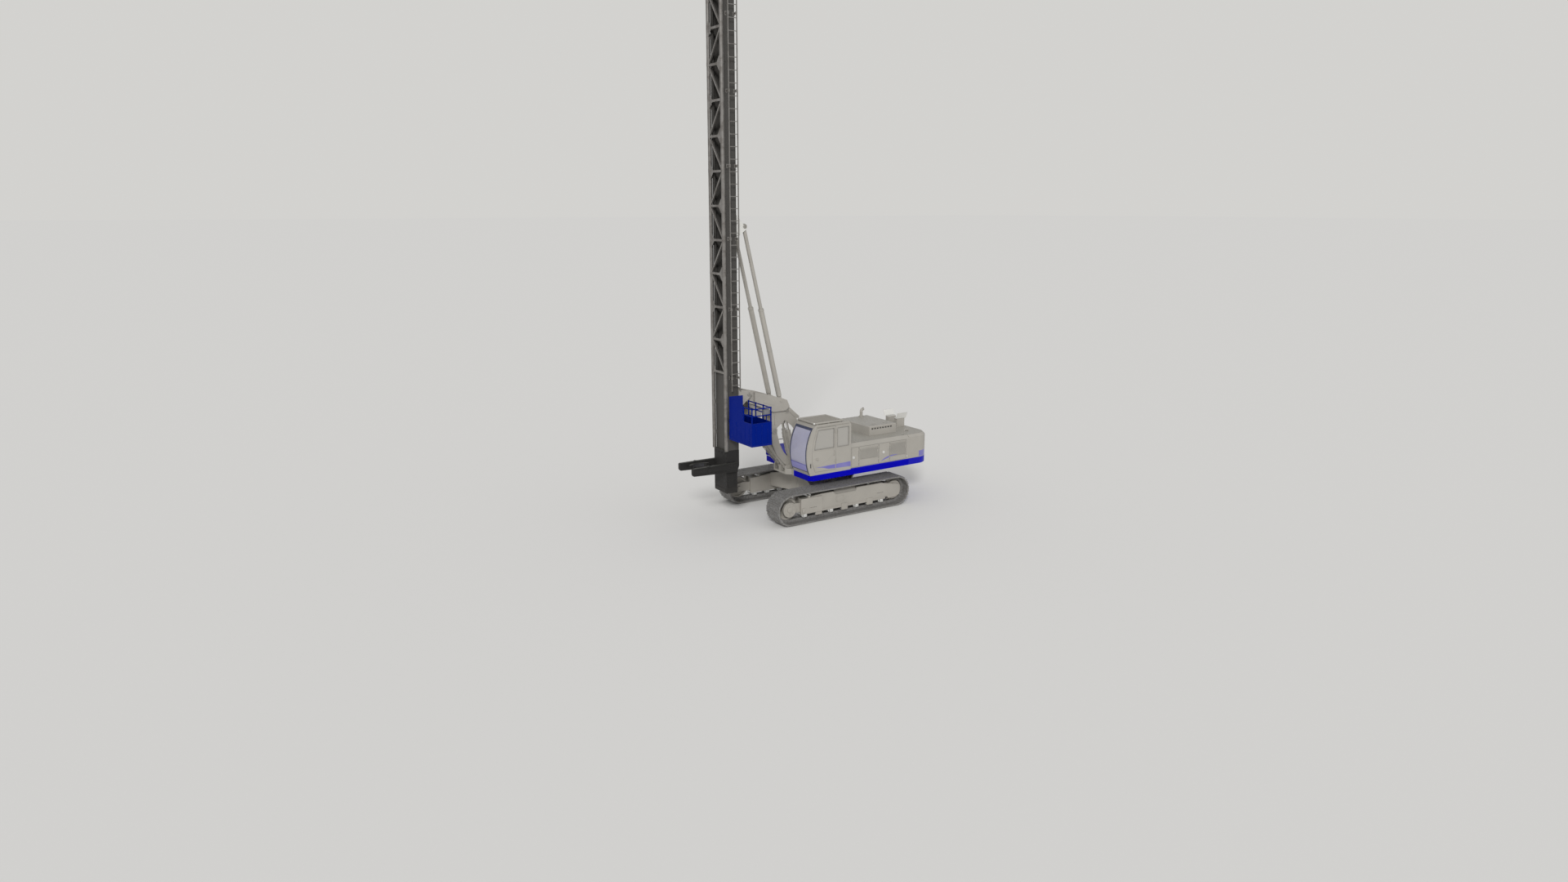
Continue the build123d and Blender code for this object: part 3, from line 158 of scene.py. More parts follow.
# Leader
GUIDE_X = 3.490
GUIDE_Y = 0.370
GUIDE_RADIUS = 0.0575
GIRDER_REAR = low("leader_girder")[0]
GIRDER_FRONT = high("leader_girder")[0]
GIRDER_SIDE = high("leader_girder")[1]
GIRDER_LOW = low("leader_girder")[2]
LATTICE_LOW = 4.700
BAY = 0.975
BAY_COUNT = 15
LADDER_Y = 0.480
LADDER_XS = (3.070, 3.330)
JAW_CENTRE = (4.150, 0.0)
JAW_RADIUS = 0.300
JAW_ARM_Y = GUIDE_Y + 0.055
JAW_ARM_FACE = GUIDE_Y + 0.110
BASKET_LOW = np.array([2.765, 0.500, 2.660])
BASKET_HIGH = np.array([3.455, 1.800, 3.360])
BASKET_RAIL = 3.780
BASKET_FLOOR = 2.681


def linear(hex_colour):
    """sRGB hex as linear RGBA: each channel through the sRGB transfer curve."""
    channels = np.array([int(hex_colour[i:i + 2], 16) for i in (0, 2, 4)]) / 255.0
    curved = ((channels + 0.055) / 1.055) ** 2.4
    straight = channels / 12.92
    return (*np.where(channels > 0.04045, curved, straight).tolist(), 1.0)


def colour_setting(label, use, hex_colour):
    """Colour property of the settings, given as sRGB hex."""
    return bpy.props.FloatVectorProperty(
        name=label, description=use, default=linear(hex_colour), size=4, min=0.0, max=1.0,
        subtype="COLOR")


def size_setting(label, use, metres):
    """Length property of the settings."""
    return bpy.props.FloatProperty(
        name=label, description=use, default=metres, min=0.0, precision=4, unit="LENGTH",
        subtype="DISTANCE")


class RigColours(bpy.types.PropertyGroup):
    """Colours of the rig, which the materials read when they are made."""
    body: colour_setting("Body", "Warm light grey of cab, hood, boom and side frames", "A8A49C")
    deck: colour_setting("Deck", "Strong blue of the deck's edge", "0000B0")
    basket: colour_setting("Basket", "Deep blue of the work basket", "001C7C")
    mast: colour_setting("Mast", "Dark grey of the leader's girder", "4A4845")
    foot: colour_setting("Foot", "Near black of the foot box and pile guide", "2B2A29")
    guide: colour_setting("Guides", "Worn grey of guide tubes and ladder", "8B8884")
    track: colour_setting("Tracks", "Bare steel of shoes and chains", "908F8D")
    stripe: colour_setting("Stripe", "Violet film stripes on cab and hood", "6C68B4")
    screen: colour_setting("Windscreen", "Blue violet tint of the windscreen", "C0C0D8")
    lower_screen: colour_setting("Lower screen", "Bluer film on the windscreen's lowest part", "9A98D2")
    smoke: colour_setting("Side glass", "Pale smoke tint of the side panes", "B0ADA7")
    white: colour_setting("White", "White of stack caps and stay brackets", "DEDDD8")


class RigSizes(bpy.types.PropertyGroup):
    """Sizes of the small fittings."""
    bolt: size_setting("Bolt", "Across flats of the common bolt heads", 0.030)
    weld: size_setting("Weld", "Half width of the weld beads", 0.007)
    gasket: size_setting("Gasket", "Width of the rubber round the glass", 0.022)
    mesh_wire: size_setting("Mesh wire", "Diameter of the guard's wires", 0.006)
    mesh_pitch: size_setting("Mesh pitch", "Spacing of the guard's wires", 0.070)
    hose: size_setting("Pipe", "Outer diameter of the hydraulic pipes", 0.022)


# Surfaces

def unit(vectors):
    """Vectors divided by their own lengths."""
    vectors = np.asarray(vectors, dtype=float)
    return vectors / np.linalg.norm(vectors, axis=-1, keepdims=True)


def basis(axis, hint=Z):
    """Columns of a right-handed frame: the third on the axis, the first nearest the hint."""
    third = unit(axis)
    hint = np.asarray(hint, dtype=float)
    if abs(hint @ third) > 0.98:
        hint = Y if abs(third[1]) < 0.9 else X
    first = unit(hint - (hint @ third) * third)
    return np.stack([first, np.cross(third, first), third], axis=1)


def spin(angles):
    """Matrices that turn about Z by each of the angles."""
    angles = np.atleast_1d(angles)
    turns = np.tile(np.eye(3), (len(angles), 1, 1))
    turns[:, 0, 0] = turns[:, 1, 1] = np.cos(angles)
    turns[:, 1, 0] = np.sin(angles)
    turns[:, 0, 1] = -np.sin(angles)
    return turns


def outward(points, faces):
    """Turns a closed surface's faces outwards when the volume that they enclose is negative."""
    middle = points - points.mean(axis=0)
    volume = 0.0
    for corners in faces:
        first = middle[corners[:, 0]]
        for step in range(1, corners.shape[1] - 1):
            second = middle[corners[:, step]]
            third = middle[corners[:, step + 1]]
            volume += np.einsum("ij,ij->", first, np.cross(second, third))
    if volume < 0:
        faces = [corners[:, ::-1] for corners in faces]
    return points, faces


def skin(rings, closed_path=False):
    """Joins an (m, n, 3) grid of closed rings by quads, with a flat face at each open end."""
    rings = np.asarray(rings, dtype=float)
    count, corners = rings.shape[:2]
    number = np.arange(count * corners).reshape(count, corners)
    across = np.roll(number, -1, axis=1)
    rows = np.roll(number, -1, axis=0)
    last = count if closed_path else count - 1
    quads = np.stack([number, across, np.roll(rows, -1, axis=1), rows], axis=-1)[:last]
    faces = [quads.reshape(-1, 4)]
    if not closed_path:
        faces += [number[:1, ::-1], number[-1:]]
    return outward(rings.reshape(-1, 3), faces)


def join(*surfaces):
    """One surface of several, each one's face numbers moved past the points before it."""
    points, faces, start = [], [], 0
    for part_points, part_faces in surfaces:
        points.append(part_points)
        faces += [corners + start for corners in part_faces]
        start += len(part_points)
    return np.concatenate(points), faces


def copies(surface, places, turns=np.eye(3)):
    """The surface at each place, turned first by the place's own matrix or by one for all."""
    points, faces = surface
    places = np.asarray(places, dtype=float).reshape(-1, 3)
    turns = np.broadcast_to(turns, (len(places), 3, 3))
    moved = np.einsum("kij,nj->kni", turns, points) + places[:, None]
    starts = np.arange(len(places))[:, None, None] * len(points)
    shifted = [(corners[None] + starts).reshape(-1, corners.shape[1]) for corners in faces]
    return moved.reshape(-1, 3), shifted


def placed(surface, places, axis, hint=Z):
    """The surface stood with its own Z on an axis, at each place."""
    return copies(surface, places, basis(axis, hint))


def scaled(surface, share):
    """The surface grown or shrunk about the origin by a share, or by one for each axis."""
    return surface[0] * share, surface[1]


def both_sides(surface):
    """The surface and its mirror image across the middle plane, whose faces are turned back outwards."""
    points, faces = surface
    return join(surface, (points * (1.0, -1.0, 1.0), [corners[:, ::-1] for corners in faces]))


def in_plane(outline, axis, value):
    """Outline in the plane where an axis (0, 1 or 2) has a value; its own values fill the others."""
    return np.insert(np.asarray(outline, dtype=float), axis, value, axis=1)


def circle(sides, radius=1.0):
    """Regular outline of points at equal angles."""
    angle = 2 * pi * np.arange(sides) / sides
    return radius * np.stack([np.cos(angle), np.sin(angle)], axis=1)


def rounded_rectangle(width, height, corner, steps=4):
    """Rectangle whose corners are quarter circles, as points at equal angles round each."""
    corner = min(corner, width / 2, height / 2)
    quarter = np.repeat(np.arange(4), steps)
    angle = pi / 2 * (quarter + np.tile(np.linspace(0.0, 1.0, steps), 4))
    sign = np.array([[1, 1], [-1, 1], [-1, -1], [1, -1]])[quarter]
    centre = sign * (width / 2 - corner, height / 2 - corner)
    return centre + corner * np.stack([np.cos(angle), np.sin(angle)], axis=1)


def inset(outline, distance):
    """Closed outline moved inwards: each corner goes along the mitre of its two edges."""
    outline = np.asarray(outline, dtype=float)
    if distance == 0.0:
        return outline
    ahead = np.roll(outline, -1, axis=0)
    edge = ahead - outline
    length = np.linalg.norm(edge, axis=1, keepdims=True)
    normal = np.stack([edge[:, 1], -edge[:, 0]], axis=1) / np.maximum(length, 1e-9)
    area = np.sum(outline[:, 0] * ahead[:, 1] - ahead[:, 0] * outline[:, 1])
    before = np.roll(normal, 1, axis=0)
    mitre = (normal + before) / (1.0 + np.sum(normal * before, axis=1, keepdims=True))
    return outline - np.sign(area) * distance * mitre


def stack(outline, levels):
    """Outline in X-Y carried up Z through (height, inset) levels, capped at both ends."""
    return skin([in_plane(inset(outline, margin), 2, height) for height, margin in levels])


def pad(width, height, thickness, corner=0.01, edge=0.002):
    """Rounded plate on the X-Y plane with a chamfered upper rim; its width is along X."""
    levels = [(0.0, 0.0), (thickness - edge, 0.0), (thickness, edge)]
    return stack(rounded_rectangle(width, height, corner), levels)


def side_pad(places, *sizes):
    """Pad lying on a face that looks to the cab side, its width along X, at each place."""
    return placed(pad(*sizes), places, Y, X)


def slab(outline, y_low, y_high, edge=0.0):
    """Side plate: an X-Z outline carried along Y, its rims chamfered by edge."""
    levels = [(y_low, 0.0), (y_high, 0.0)]
    if edge:
        levels = [(y_low, edge), (y_low + edge, 0.0), (y_high - edge, 0.0), (y_high, edge)]
    return skin([in_plane(inset(outline, margin), 1, y) for y, margin in levels])


def lathe(profile, sides=24, hole=False):
    """(height, radius) profile turned about Z, with flat ends, or closed into a ring with a hole."""
    return skin([in_plane(circle(sides, radius), 2, height) for height, radius in profile], hole)


def sweep(profile, path, up, closed=False):
    """Closed profile carried along a path: its first value across the path, its second along up.

    At a corner the first value is stretched by one over the cosine of half the turn, so
    that straight legs keep their width.
    """
    path = np.asarray(path, dtype=float)
    ahead = unit(np.roll(path, -1, axis=0) - path)
    behind = np.roll(ahead, 1, axis=0)
    if not closed:
        ahead[-1] = behind[-1]
        behind[0] = ahead[0]
    along = unit(ahead + behind)
    stretch = 1.0 / np.maximum(np.sum(along * ahead, axis=1), 0.3)
    across = unit(np.cross(up, along))
    rise = np.cross(along, across)
    profile = np.asarray(profile, dtype=float)
    rings = path[:, None] + profile[None, :, :1] * (across * stretch[:, None])[:, None]
    rings = rings + profile[None, :, 1:] * rise[:, None]
    return skin(rings, closed)


def route(corners, bend, steps=6):
    """Path through corners, each rounded by a quadratic curve that starts a bend's length before it."""
    corners = np.asarray(corners, dtype=float)
    points = [corners[:1]]
    for before, here, after in zip(corners, corners[1:], corners[2:]):
        start = here + bend * unit(before - here)
        end = here + bend * unit(after - here)
        points.append(quadratic(start, here, end, steps))
    points.append(corners[-1:])
    return np.concatenate(points)


def quadratic(start, pull, end, steps):
    """Points of the quadratic curve from a start to an end, drawn towards a third point."""
    share = np.linspace(0.0, 1.0, steps)[:, None]
    return (1 - share) ** 2 * start + 2 * share * (1 - share) * np.asarray(pull) + share ** 2 * end


def tube(path, radius, up=Z, sides=10):
    """Round bar or pipe along a path; up is any direction that the path never takes."""
    return sweep(circle(sides, radius), path, up)


def handle(first, last, rise, bend, radius, up, sides=10):
    """Bar that leaves a face at the first point by the rise, runs beside it and comes back at the last."""
    first, last = np.array(first), np.array(last)
    return tube(route([first, first + rise, last + rise, last], bend), radius, up, sides)


def evenly(path, step):
    """Path's points again at equal steps of its length."""
    path = np.asarray(path, dtype=float)
    travelled = np.concatenate([[0.0], np.cumsum(np.linalg.norm(np.diff(path, axis=0), axis=1))])
    wanted = np.linspace(0.0, travelled[-1], max(2, int(round(travelled[-1] / step)) + 1))
    return np.stack([np.interp(wanted, travelled, path[:, axis]) for axis in range(3)], axis=1)


def weld(corners, up, size, ripple=0.018):
    """Weld bead: a half round whose size swells and sinks by an eighth, once a ripple."""
    path = evenly(corners, ripple / 4)
    angle = np.linspace(-0.3, pi + 0.3, 6)
    profile = size * np.stack([np.cos(angle), 0.8 * np.sin(angle)], axis=1)
    along = unit(np.gradient(path, axis=0))
    across = unit(np.cross(up, along))
    rise = np.cross(along, across)
    swell = 1.0 + 0.125 * np.sin(2 * pi * np.arange(len(path)) / 4)
    profile = profile[None] * swell[:, None, None]
    rings = path[:, None] + profile[..., :1] * across[:, None] + profile[..., 1:] * rise[:, None]
    return skin(rings)


def bolt(width):
    """Hexagon head with a chamfered crown on a washer."""
    seat = 0.08 * width
    washer = lathe([(0.0, 0.62 * width), (seat, 0.62 * width)], 10)
    crown = stack(circle(6, 0.56 * width), [(seat, 0.0), (0.50 * width, 0.0), (0.58 * width, 0.07 * width)])
    return join(washer, crown)


def bolts(places, axis, width):
    """Bolt heads at several places, all standing on one axis."""
    return placed(bolt(width), places, axis)


def bolt_circle(centre, axis, radius, count, width):
    """Bolt heads at equal angles on a circle."""
    places = np.asarray(centre) + circle(count, radius) @ basis(axis)[:, :2].T
    return bolts(places, axis, width)


def grid_places(xs, ys, zs):
    """Every combination of three lists of values."""
    return np.stack(np.meshgrid(xs, ys, zs, indexing="ij"), axis=-1).reshape(-1, 3)


def strip(width, depth):
    """Flat strip's section, sunk half a millimetre into what it lies on."""
    half = width / 2
    return [(-half, -0.0005), (half, -0.0005), (half, depth * 0.6), (half - 0.2 * width, depth),
            (-half + 0.2 * width, depth), (-half, depth * 0.6)]


def round_frame(x_span, z_span, y, corner=0.03):
    """Closed path of a rounded rectangle in X-Z at a Y value."""
    (x_low, x_high), (z_low, z_high) = x_span, z_span
    flat = rounded_rectangle(x_high - x_low, z_high - z_low, corner)
    return in_plane(flat + ((x_low + x_high) / 2, (z_low + z_high) / 2), 1, y)


def bare_object(name, surface):
    """The surface as a plain object at the origin."""
    points, faces = surface
    mesh = bpy.data.meshes.new(name)
    mesh.from_pydata(points.tolist(), [], [face for corners in faces for face in corners.tolist()])
    piece = bpy.data.objects.new(name, mesh)
    bpy.context.scene.collection.objects.link(piece)
    return piece


def fitting(name, surface, finish, body, sharp=32.0):
    """Makes the surface a piece that rides on a body, smooth up to an angle in degrees.
    """
    piece = bare_object(name, surface)
    mesh = piece.data
    mesh.polygons.foreach_set("use_smooth", np.ones(len(mesh.polygons), dtype=bool))
    mesh.set_sharp_from_angle(angle=radians(sharp))
    mesh.materials.append(material(finish))
    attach(piece, body)
    return piece


# Materials

def add_node(tree, kind, inputs=None, output=0, **settings):
    """Adds a shader node, each input a value or the socket that feeds it, and gives one output."""
    node = tree.nodes.new("ShaderNode" + kind)
    for name, value in settings.items():
        setattr(node, name, value)
    for key, value in (inputs or {}).items():
        if isinstance(value, bpy.types.NodeSocket):
            tree.links.new(value, node.inputs[key])
        else:
            node.inputs[key].default_value = value
    return node.outputs[output] if len(node.outputs) else None


def colour(name):
    """One of the scene's colour settings, or else the colour of an sRGB hex."""
    settings = bpy.context.scene.rig_colours
    return tuple(getattr(settings, name)) if hasattr(settings, name) else linear(name)


def worn_rims(add, radius, bend, strength):
    """Normal rounded by a radius, and a value that grows where it leaves the true one."""
    rounded = add("Bevel", {"Radius": radius}, samples=4)
    flat = add("NewGeometry", output="Normal")
    turn = add("VectorMath", {0: rounded, 1: flat}, "Value", operation="DOT_PRODUCT")
    return rounded, add("MapRange", {0: turn, 1: 0.99, 2: bend, 3: 0.0, 4: strength})


def enamel(add, paint, other=None, split=0.0, axis="Z", roughness=0.42, gloss=0.5, shade=1.0):
    """Two-pack polyurethane enamel sprayed on blasted steel, its paint darkened by a shade.

    The eye sees an even satin coat with faint orange peel, slow fading from panel to
    panel, dust that gathers towards the ground, and a few chips down to grey primer on
    rims. Faces that look up are darkened towards greenish grey as painted shade, and a
    shade below one darkens the whole paint as painted shade. A second colour within a
    split distance of the middle, along one axis, gives a two-tone coat.
    """
    place = add("TexCoord", output="Object")
    base = (*(channel * shade for channel in colour(paint)[:3]), 1.0)
    if other is not None:
        along = add("SeparateXYZ", {0: place}, axis)
        reach = add("Math", {0: along}, operation="ABSOLUTE")
        near = add("Math", {0: reach, 1: split}, operation="LESS_THAN")
        base = add("Mix", {0: near, "A": base, "B": colour(other)}, "Result", data_type="RGBA")
    # Fading in clouds about 700 mm across
    fade = add("TexNoise", {"Vector": place, "Scale": 1 / 0.7, "Detail": 3.0})
    level = add("MapRange", {0: fade, 1: 0.3, 2: 0.7, 3: 0.93, 4: 1.05})
    coat = add("Mix", {0: 1.0, "A": base, "B": level}, "Result", data_type="RGBA", blend_type="MULTIPLY")
    # Dust: clouds of 60 mm, from the ground up to about 1.2 m
    grit = add("TexNoise", {"Vector": place, "Scale": 1 / 0.06, "Detail": 5.0, "Roughness": 0.65})
    height = add("SeparateXYZ", {0: place}, "Z")
    ground = add("MapRange", {0: height, 1: 0.0, 2: 1.2, 3: 0.34, 4: 0.0})
    dust = add("Math", {0: grit, 1: ground}, operation="MULTIPLY")
    coat = add("Mix", {0: dust, "A": coat, "B": linear("8A8174")}, "Result", data_type="RGBA")
    # Painted shade: faces that look up are darkened towards greenish grey, broken by the dust's grain
    facing = add("SeparateXYZ", {0: add("NewGeometry", output="Normal")}, "Z")
    settling = add("MapRange", {0: facing, 1: 0.80, 2: 0.98, 3: 0.0, 4: 0.45})
    settled = add("Math", {0: settling, 1: grit}, operation="MULTIPLY")
    coat = add("Mix", {0: settled, "A": coat, "B": linear("6F7066")}, "Result", data_type="RGBA")
    # Chips: where a 5 mm rounded normal leaves the true one, broken by 25 mm spots
    rounded, rim = worn_rims(add, 0.005, 0.90, 1.0)
    spots = add("TexNoise", {"Vector": place, "Scale": 1 / 0.025, "Detail": 4.0})
    broken = add("MapRange", {0: spots, 1: 0.56, 2: 0.62, 3: 0.0, 4: 0.75})
    chips = add("Math", {0: rim, 1: broken}, operation="MULTIPLY")
    coat = add("Mix", {0: chips, "A": coat, "B": linear("76736E")}, "Result", data_type="RGBA")
    # Orange peel of sprayed paint, drawn at 9 mm so that it shows
    peel = add("TexNoise", {"Vector": place, "Scale": 1 / 0.009, "Detail": 1.0})
    relief = add("Bump", {"Height": peel, "Strength": 0.10, "Distance": 0.0008, "Normal": rounded})
    matt = add("MapRange", {0: grit, 1: 0.35, 2: 0.65, 3: roughness - 0.05, 4: roughness + 0.12})
    return {"Base Color": coat, "Roughness": matt, "IOR": 1.5, "Normal": relief,
            "Specular IOR Level": gloss}


def worn_steel(add, tone, polish, size, metallic, roughness):
    """Rolled or cast steel worn by earth and running faces.

    The eye sees a dull skin with pits, soil stain in the hollows and brighter metal
    where rims have rubbed.
    """
    place = add("TexCoord", output="Object")
    clouds = add("TexNoise", {"Vector": place, "Scale": 1 / size, "Detail": 6.0, "Roughness": 0.6})
    stain = add("MapRange", {0: clouds, 1: 0.40, 2: 0.66, 3: 0.0, 4: 0.55})
    soiled = add("Mix", {0: stain, "A": colour(tone), "B": linear("57504A")}, "Result", data_type="RGBA")
    rounded, rim = worn_rims(add, 0.006, 0.88, 0.8)
    bright = add("Mix", {0: rim, "A": soiled, "B": linear(polish)}, "Result", data_type="RGBA")
    matt = add("MapRange", {0: clouds, 1: 0.35, 2: 0.7, 3: roughness - 0.08, 4: roughness + 0.25})
    pits = add("TexNoise", {"Vector": place, "Scale": 1 / 0.006, "Detail": 3.0})
    relief = add("Bump", {"Height": pits, "Strength": 0.35, "Distance": 0.0012, "Normal": rounded})
    return {"Base Color": bright, "Metallic": metallic, "Roughness": matt, "Normal": relief}


def ground_chrome(add):
    """Hard chrome ground round a cylinder rod: a mirror with hair-fine rings and an oil film."""
    place = add("TexCoord", output="Object")
    oil = add("TexNoise", {"Vector": place, "Scale": 1 / 0.12, "Detail": 3.0})
    share = add("MapRange", {0: oil, 1: 0.35, 2: 0.7, 3: 0.0, 4: 1.0})
    tone = add("Mix", {0: share, "A": linear("E4E4E2"), "B": linear("CFCBC2")}, "Result", data_type="RGBA")
    matt = add("MapRange", {0: oil, 1: 0.35, 2: 0.7, 3: 0.10, 4: 0.24})
    return {"Base Color": tone, "Metallic": 0.8, "Roughness": matt}


def tempered_glass(add, tint, clear):
    """Tempered glass with a sun film: pale, glossy, half see-through, a little dust in clouds."""
    place = add("TexCoord", output="Object")
    dust = add("TexNoise", {"Vector": place, "Scale": 1 / 0.09, "Detail": 5.0})
    veil = add("MapRange", {0: dust, 1: 0.3, 2: 0.8, 3: 0.0, 4: 0.18})
    tone = add("Mix", {0: veil, "A": colour(tint), "B": linear("B9B4A8")}, "Result", data_type="RGBA")
    matt = add("MapRange", {0: dust, 1: 0.4, 2: 0.75, 3: 0.04, 4: 0.16})
    return {"Base Color": tone, "Roughness": matt, "IOR": 1.5, "Transmission Weight": clear}


def moulded(add, tone, roughness, grain=0.004):
    """Moulded rubber or plastic: matt, with a pebble grain and slight greying."""
    place = add("TexCoord", output="Object")
    pebbles = add("TexVoronoi", {"Vector": place, "Scale": 1 / grain}, "Distance")
    clouds = add("TexNoise", {"Vector": place, "Scale": 1 / 0.1, "Detail": 4.0})
    grey = add("MapRange", {0: clouds, 1: 0.35, 2: 0.7, 3: 0.0, 4: 0.3})
    skin_tone = add("Mix", {0: grey, "A": linear(tone), "B": linear("5B5957")}, "Result", data_type="RGBA")
    relief = add("Bump", {"Height": pebbles, "Strength": 0.25, "Distance": 0.0006})
    return {"Base Color": skin_tone, "Roughness": roughness, "IOR": 1.5, "Normal": relief}


def woven_seat(add):
    """Flat woven polyester on a seat: crossed threads, drawn at 6 mm so that they show, and a sheen."""
    place = add("TexCoord", output="Object")
    weft, warp = [add("TexWave", {"Vector": place, "Scale": 25.0}, bands_direction=axis) for axis in "YZ"]
    cross = add("Math", {0: weft, 1: warp}, operation="MULTIPLY")
    tone = add("Mix", {0: cross, "A": linear("232327"), "B": linear("3A3A42")}, "Result", data_type="RGBA")
    relief = add("Bump", {"Height": cross, "Strength": 0.4, "Distance": 0.001})
    return {"Base Color": tone, "Roughness": 0.85, "Sheen Weight": 0.3, "Normal": relief}


def film(add, tone):
    """Cast vinyl film laid on paint: even, of a harder gloss than the paint, a little bleached."""
    place = add("TexCoord", output="Object")
    clouds = add("TexNoise", {"Vector": place, "Scale": 1 / 0.35, "Detail": 4.0})
    pale = add("MapRange", {0: clouds, 1: 0.35, 2: 0.7, 3: 0.0, 4: 0.35})
    bleached = add("Mix", {0: pale, "A": colour(tone), "B": linear("9A97BE")}, "Result", data_type="RGBA")
    return {"Base Color": bleached, "Roughness": 0.3, "IOR": 1.5, "Coat Weight": 0.2}


def lamp_lens(add, tone):
    """Moulded polycarbonate lamp lens: clear, ribbed every 8 mm."""
    place = add("TexCoord", output="Object")
    ribs = add("TexWave", {"Vector": place, "Scale": 19.0}, bands_direction="Y")
    relief = add("Bump", {"Height": ribs, "Strength": 0.5, "Distance": 0.002})
    return {"Base Color": linear(tone), "Roughness": 0.08, "IOR": 1.58, "Transmission Weight": 0.35,
            "Normal": relief}


def plain_floor(add):
    """Even pale floor without any gloss."""
    return {"Base Color": STUDIO_PALE, "Roughness": 1.0, "Specular IOR Level": 0.0}


STUDIO_PALE = linear("E4E3E0")

FINISHES = {
    "body_enamel": partial(enamel, paint="body"),
    "banded_enamel": partial(enamel, paint="body", other="deck", split=DECK_TOP + BAND_RISE, gloss=0.25),
    "deck_enamel": partial(enamel, paint="deck", gloss=0.06),
    "frame_enamel": partial(
        enamel, paint="deck", other="body", split=high("slew_ring")[1], axis="Y", gloss=0.06),
    "basket_enamel": partial(enamel, paint="basket", gloss=0.04),
    "mast_enamel": partial(enamel, paint="mast", roughness=0.5, gloss=0.3),
    "foot_enamel": partial(enamel, paint="foot", roughness=0.5, gloss=0.2),
    # Body enamel darkened to 0.78 as painted shade, for the hood panels' slats and the tread plate in the
    # step's recess
    "panel_enamel": partial(enamel, paint="body", shade=0.78),
    "bracket_enamel": partial(enamel, paint="white", other="body", split=8.0),
    "stack_enamel": partial(enamel, paint="white", other="body", split=HOOD_TOP + STACK_CAP_RISE),
    "white_enamel": partial(enamel, paint="white", roughness=0.35),
    "guide_steel": partial(
        worn_steel, tone="guide", polish="C4C2BC", size=0.2, metallic=0.6, roughness=0.42),
    "track_manganese_steel": partial(
        worn_steel, tone="track", polish="B4B3B0", size=0.06, metallic=0.4, roughness=0.5),
    "roller_steel": partial(
        worn_steel, tone="BDBCB8", polish="F2F2EE", size=0.08, metallic=0.9, roughness=0.3),
    "engine_cast_iron": partial(
        worn_steel, tone="4B4A48", polish="7C7A76", size=0.05, metallic=0.6, roughness=0.6),
    "zinc_bolt_steel": partial(
        worn_steel, tone="A8A59D", polish="D0CFC9", size=0.03, metallic=0.45, roughness=0.42),
    "hard_chrome": ground_chrome,
    "windscreen_glass": partial(tempered_glass, tint="screen", clear=0.20),
    "side_glass": partial(tempered_glass, tint="smoke", clear=0.12),
    # Dark moulded rubber, also used for dark pads of painted shade in slots, louvres and the pillar's hand
    # slot
    "glass_rubber": partial(moulded, tone="26262A", roughness=0.75),
    "pale_rubber": partial(moulded, tone="94918A", roughness=0.7),
    # Dark blue-grey rubber of the pillar strips, also the brow's painted shadow at the windscreen's top
    "pillar_rubber": partial(moulded, tone="3E4560", roughness=0.6),
    "console_plastic": partial(moulded, tone="34343A", roughness=0.6, grain=0.003),
    "seat_weave": woven_seat,
    "lower_screen_film": partial(film, tone="lower_screen"),
    # Violet film of the stripes, also a painted reflection on the counterweight's corner
    "stripe_film": partial(film, tone="stripe"),
    "clear_lens": partial(lamp_lens, tone="E9EAEA"),
    "red_lens": partial(lamp_lens, tone="A8201C"),
    "studio_floor": plain_floor,
}

NODE_FINISHES = {
    "upper_frame": "frame_enamel", "right_housing": "deck_enamel", "air_stacks": "stack_enamel",
    "counterweight": "banded_enamel", "engine_hood": "banded_enamel", "basket": "basket_enamel",
    "leader_girder": "mast_enamel", "guide_lattice": "guide_steel", "leader_foot": "foot_enamel",
    "pile_guide": "foot_enamel", "ladder": "guide_steel", "leader_head": "mast_enamel",
    "leader_brackets": "bracket_enamel", "head_sheaves": "track_manganese_steel",
    "track_left": "track_manganese_steel", "track_right": "track_manganese_steel",
    "rollers": "roller_steel", "carrier_rollers": "roller_steel", "slew_ring": "track_manganese_steel",
    "engine_block": "engine_cast_iron", "cab_seat": "seat_weave", "cab_consoles": "console_plastic",
    "windscreen": "windscreen_glass", "cab_panes": "side_glass", "door_pane": "side_glass",
    "level_rods": "hard_chrome", "luff_rods": "hard_chrome", "stay_rods": "body_enamel",
}


def material(name):
    """The named finish, made on its first use."""
    made = bpy.data.materials.get(name)
    if made is None:
        made = bpy.data.materials.new(name)
        made.use_nodes = True
        made.node_tree.nodes.clear()
        add = partial(add_node, made.node_tree)
        add("OutputMaterial", {0: add("BsdfPrincipled", FINISHES[name](add))})
    return made


class RIG_OT_frame_finish(bpy.types.Operator):
    """Gives every solid of the frame its paint, steel or glass."""
    bl_idname = "rig.frame_finish"
    bl_label = "Frame finish"

    def execute(self, context):
        for name, node in frame["nodes"].items():
            node.data.materials.clear()
            node.data.materials.append(material(NODE_FINISHES.get(name, "body_enamel")))
        return {"FINISHED"}


def along_loop(distance, radius):
    """Places on a track's loop and their outward turns, for distances at the pitch line.

    The loop starts under the slewing axis and runs forward: straight, half a circle up
    round the front, straight back, half a circle down round the rear.
    """
    run = IDLER[0] - SPROCKET[0]
    half_turn = pi * PITCH_RADIUS
    distance = np.asarray(distance) % LOOP_LENGTH
    marks = [run / 2, run / 2 + half_turn, 1.5 * run + half_turn, 1.5 * run + 2 * half_turn]
    leg = np.searchsorted(marks, distance, side="right")
    turn = np.choose(leg, [
        0.0 * distance, (distance - marks[0]) / PITCH_RADIUS, 0.0 * distance + pi,
        pi + (distance - marks[2]) / PITCH_RADIUS, 0.0 * distance + 2 * pi])
    centre = np.choose(leg, [
        distance, 0.0 * distance + IDLER[0], IDLER[0] - (distance - marks[1]),
        0.0 * distance + SPROCKET[0], distance - LOOP_LENGTH])
    return np.stack([centre + radius * np.sin(turn), AXLE_Z - radius * np.cos(turn)], axis=1), turn


